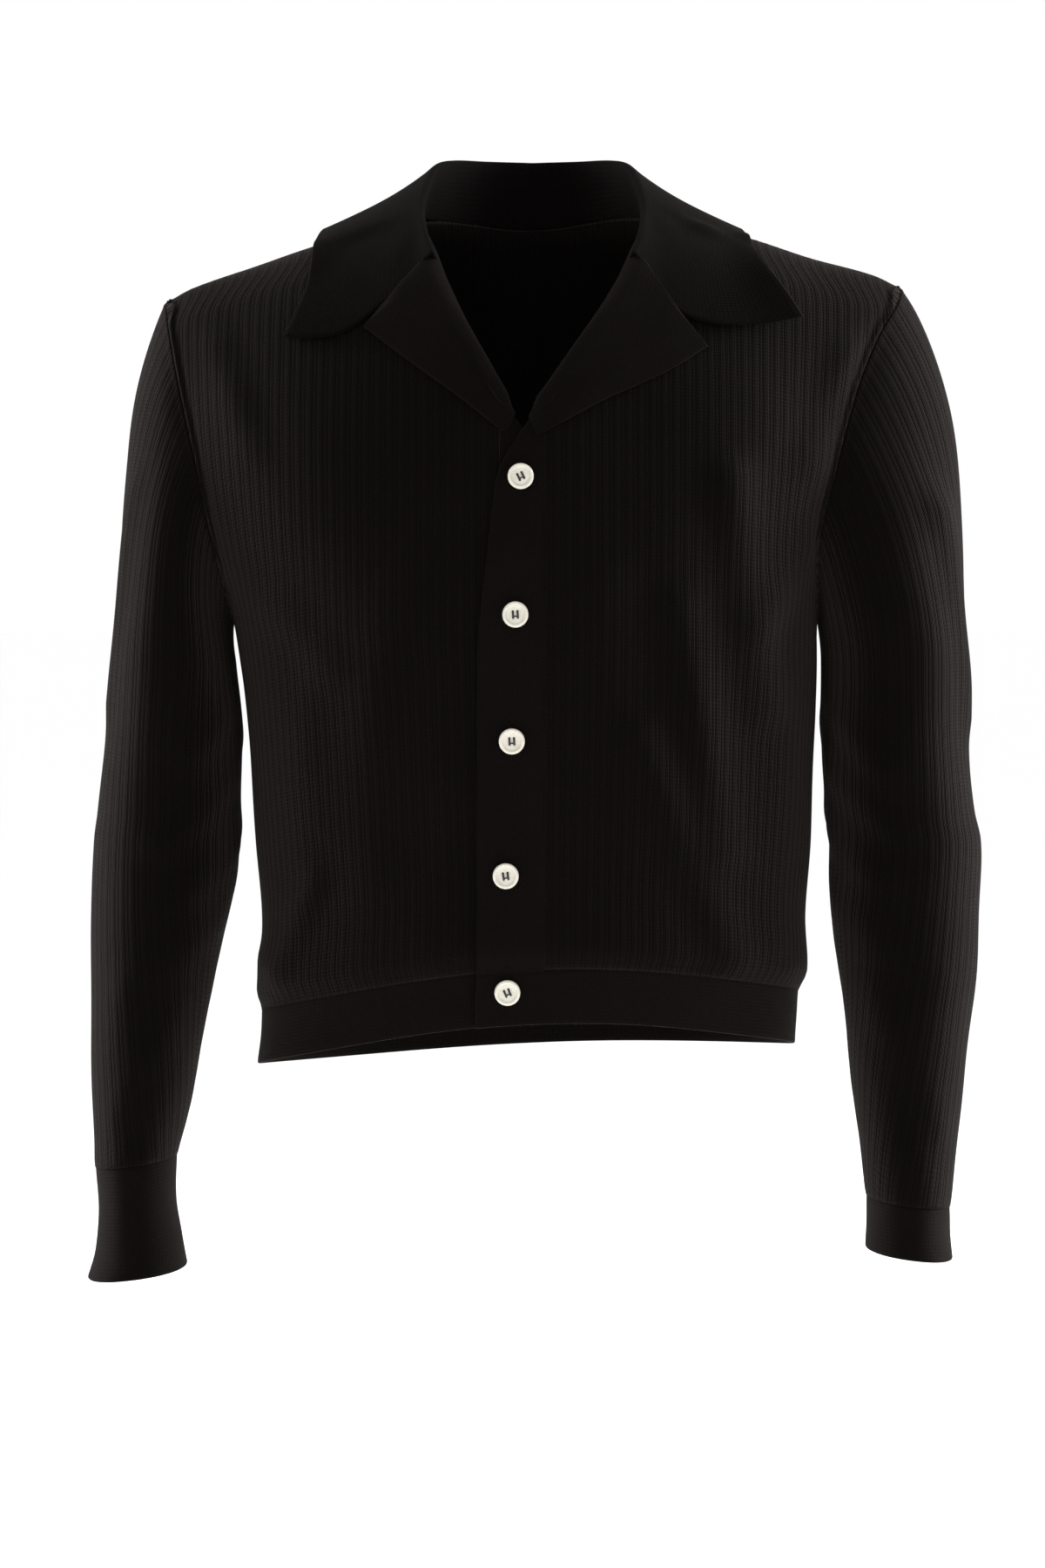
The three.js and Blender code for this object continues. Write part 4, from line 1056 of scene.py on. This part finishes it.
def sleeve_grid(side, count):
    rows = SLEEVE[side]
    top_z, end_z = rows["z"][-1], rows["z"][0]
    start = armhole_ring(side, count)
    to, beyond = (level_ring(rows, z, side, 0, count) for z in (top_z, top_z - ARRIVE_OVER))
    turn = 2 * np.pi * np.arange(count) / count
    over, under = mix(SIDE_FLARE, CAP_FLARE[side], np.cos(turn)), mix(SIDE_FLARE, UNDER_FLARE, -np.cos(turn))
    flare = np.where(np.cos(turn) > 0, over, under)
    length = np.linalg.norm(start - to, axis=1, keepdims=True)
    leave = unit(stack(sign(side) * flare, -LEAVE_DEEP * np.sin(turn), -LEAVE_DOWN)) * length
    arrive = unit(beyond - to) * length
    head = np.linspace(0, 1, HEAD_ROWS + 1)[:-1] ** HEAD_SPACING
    rings = [hermite(start, to, leave, arrive, t) for t in head]
    for t in np.linspace(0, 1, BELOW_ROWS + 1):
        rings.append(level_ring(rows, mix(top_z, end_z, t), side, CUFF_RISE[side] * t ** 2, count))
    return np.stack(rings)


def sleeve(side):
    count = SLEEVE_COLUMNS
    points = sleeve_grid(side, count)
    away = grid_normals(points, ring=True)
    forward = run_along(points.swapaxes(0, 1)).T
    whole = forward[:, -1:] + np.linalg.norm(points[:, 0] - points[:, -1], axis=1)[:, None]
    in_front = np.arange(count) <= count // 2
    wales = np.where(in_front, forward, forward - whole)
    wales[:HEAD_ROWS] = wales[HEAD_ROWS]
    degrees = 360 * np.arange(count) / count
    degrees = np.where(in_front, degrees, degrees - 360)
    run = run_along(points)
    to_end = run[-1] - run
    rim = smooth(run / 4) * smooth(to_end / 3)
    bulge = crease_sum(SLEEVE_CREASES[side], degrees[None, :], points[..., 2]) + unevenness(points, 0.9, 30)
    bulge *= smooth(run / 22) * smooth(to_end / 14)
    under_seam = np.abs(np.abs(wales) - whole / 2)
    seam_dip = -0.6 * hump(under_seam, 0, 1.6) * (np.arange(len(points)) >= HEAD_ROWS)[:, None]
    on_cap = smooth((points[..., 2] + 235) / 60)
    ridge = 0.5 * hump(run, RIDGE_AT, RIDGE_HALF) * on_cap
    base = points + away * bulge[..., None]
    outer = base + away * (RIB_RELIEF * rib_wave(wales) * rim + ridge + seam_dip * rim)[..., None]
    to_inner = -away
    to_inner[0] = armhole_rim(points[0], side, 1)
    pick = np.ix_(coarse(len(points), INNER_ROWS), np.arange(0, count, INNER_COLUMNS))
    finish_ribbed(f"sleeve_{side}", outer, base + to_inner * WALL, wales, run, pick, ring=True)


def cuff(side):
    rows = CUFF[side]
    heights = np.linspace(rows["z"][-1], rows["z"][0], CUFF_ROWS + 1)
    rings = np.stack([level_ring(rows, z, side, CUFF_RISE[side], CUFF_COLUMNS) for z in heights])
    away = grid_normals(rings, ring=True).swapaxes(0, 1)
    finish_round(f"cuff_{side}", rings.swapaxes(0, 1), away, 0.5, 18, closed=True)


for side in ("left", "right"):
    sleeve(side)
    cuff(side)


# Buttons

TUBE_HINT = (0.31, 0.2, 0.93)


def lathe_rings(profile, sides):
    """Rings of points round the Z axis, from (radius, height) pairs in millimetres."""
    turn = np.linspace(0, 2 * np.pi, sides, endpoint=False)
    return np.stack([stack(r * np.cos(turn), r * np.sin(turn), h + 0 * turn) for r, h in profile])


def tube_rings(path, radius, sides):
    along = unit(np.gradient(path, axis=0))
    across = unit(np.cross(along, np.array(TUBE_HINT)))
    other = np.cross(along, across)
    turn = np.linspace(0, 2 * np.pi, sides, endpoint=False)[:, None]
    return path[:, None] + radius * (across[:, None] * np.cos(turn) + other[:, None] * np.sin(turn))


def rings_piece(name, rings, material):
    """A closed solid through rings of points."""
    numbers = wrapped(numbered(rings))
    ends = [tuple(numbers[0, :-1][::-1].tolist()), tuple(numbers[-1, :-1].tolist())]
    points = rings.reshape(-1, 3)
    return make_mesh(name, points, quads(numbers) + ends, points[:, :2], material)


BUTTON_PROFILE = [
    (5.6, 0), (6.4, 0.05), (7.0, 0.3), (7.35, 0.8), (7.5, 1.4), (7.48, 2.0), (7.3, 2.6), (6.95, 3.0),
    (6.5, 3.2), (6.0, 3.15), (5.6, 2.85), (5.3, 2.4), (4.9, 2.12), (4.2, 2.0), (3.0, 1.94), (1.2, 1.92),
]
HOLE_ACROSS, HOLE_ALONG, HOLE_RADIUS = 1.35, 1.85, 0.66


SEAT_OUT = 0.3
THREAD_FOOT, THREAD_RISE, THREAD_RADIUS = 0.9, 1.75, 0.6
BAR_DROP, BAR_PLACE, BAR_RADIUS = 0.25, 0.55, 0.35


def over_band(x, z, out):
    """A point out from the left band's outer face."""
    return front_at(*(np.array([v]) for v in (x, z, OVERLAP_LIFT + SEAM_GAP + out)))[0]


def button(number, x, z, turn):
    seat = over_band(x, z, SEAT_OUT)
    away = Vector(over_band(x, z, SEAT_OUT + 1) - seat).normalized()
    disc = rings_piece(f"button_disc_{number}", lathe_rings(BUTTON_PROFILE, 72), PEARL)
    drills = []
    for k, (hx, hy) in enumerate(((1, 1), (-1, 1), (-1, -1), (1, -1))):
        drill = rings_piece(f"drill_{k}", lathe_rings([(HOLE_RADIUS, -1), (HOLE_RADIUS, 5)], 20), PEARL)
        drill.location = (hx * HOLE_ACROSS * MM, hy * HOLE_ALONG * MM, 0)
        cut = disc.modifiers.new("hole", "BOOLEAN")
        cut.operation, cut.solver, cut.object = "DIFFERENCE", "EXACT", drill
        drills.append(drill)
    graph = bpy.context.evaluated_depsgraph_get()
    mesh = bpy.data.meshes.new_from_object(disc.evaluated_get(graph))
    disc.modifiers.clear()
    disc.data = mesh
    for drill in drills:
        bpy.data.objects.remove(drill, do_unlink=True)
    mesh.shade_smooth()
    pieces = [disc]
    t = np.linspace(0, np.pi, 17)
    rise = THREAD_FOOT + THREAD_RISE * np.sin(t) ** 0.5
    along = -HOLE_ALONG * np.cos(t)
    for letter, radius, path in (
        ("a", THREAD_RADIUS, stack(-HOLE_ACROSS, along, rise)),
        ("b", THREAD_RADIUS, stack(HOLE_ACROSS, along, rise)),
        ("c", BAR_RADIUS, stack(-HOLE_ACROSS * np.cos(t), -BAR_PLACE * HOLE_ALONG + 0 * t, rise - BAR_DROP)),
    ):
        pieces.append(rings_piece(f"button_thread_{number}_{letter}", tube_rings(path, radius, 10), THREAD))
    up = away.to_track_quat("Z", "Y").to_matrix().to_4x4()
    spin = Matrix.Rotation(math.radians(turn), 4, "Z")
    for piece in pieces:
        piece.data.transform(Matrix.Translation(Vector(seat) * MM) @ up @ spin)
        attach(piece, "root")
        if piece is disc:
            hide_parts(f"button_{number}")


for i, (x, z, turn) in enumerate(BUTTONS):
    button(i + 1, x, z, turn)


# Floor, light and camera, in metres

FLOOR_HALF, FLOOR_Z = 30, -0.95
FLOOR_SHADES = (0.99, 1.0)
SENSOR, LENS = 36, 115.4
CAMERA_PLACE, CAMERA_AIM = (-0.006, -3.0, -0.15), (-0.006, 0, -0.312)


def pale_floor():
    n = Nodes("pale_floor")
    n.link(n.blend(n.noise(3.0, 3.0, 0.5), *((shade,) * 3 for shade in FLOOR_SHADES)), "Base Color")
    n.set({"Roughness": 0.9})
    return n.material


floor_mesh = bpy.data.meshes.new("floor")
corners = [(x * FLOOR_HALF, y * FLOOR_HALF, FLOOR_Z) for x, y in ((-1, -1), (1, -1), (1, 1), (-1, 1))]
floor_mesh.from_pydata(corners, [], [(0, 1, 2, 3)])
floor_mesh.materials.append(pale_floor())
floor = bpy.data.objects.new("floor", floor_mesh)
bpy.context.collection.objects.link(floor)


def set_up(name, data, place, aim):
    """Puts a light or camera in its place, turned to what it is aimed at."""
    item = bpy.data.objects.new(name, data)
    item.location = place
    item.rotation_euler = (Vector(aim) - Vector(place)).to_track_quat("-Z", "Y").to_euler()
    bpy.context.collection.objects.link(item)
    return item


def soft_light(name, place, aim, size, power):
    lamp = bpy.data.lights.new(name, "AREA")
    lamp.shape, lamp.size, lamp.size_y = "RECTANGLE", *size
    lamp.energy = power
    set_up(name, lamp, place, aim)


soft_light("side_right", (2.3, 0.75, 0.5), (0.1, 0, -0.3), (1.2, 2.2), 230)
soft_light("side_left", (-2.3, 0.95, 0.3), (-0.1, 0, -0.3), (1.0, 2.0), 150)
soft_light("front", (-0.7, -3.4, 1.6), (0, 0, -0.3), (2.4, 2.0), 25)

world = bpy.data.worlds.new("studio")
world.use_nodes = True
world.node_tree.nodes["Background"].inputs["Color"].default_value = (1, 1, 1, 1)
world.node_tree.nodes["Background"].inputs["Strength"].default_value = 1.0
bpy.context.scene.world = world
bpy.context.scene.view_settings.view_transform = "Standard"

# The photograph's frame is 1200 x 1800, with 0.52 mm to a pixel in the plane of the shoulders
camera_data = bpy.data.cameras.new("camera")
camera_data.sensor_width = camera_data.sensor_height = SENSOR
camera_data.lens = LENS
bpy.context.scene.camera = set_up("camera", camera_data, CAMERA_PLACE, CAMERA_AIM)
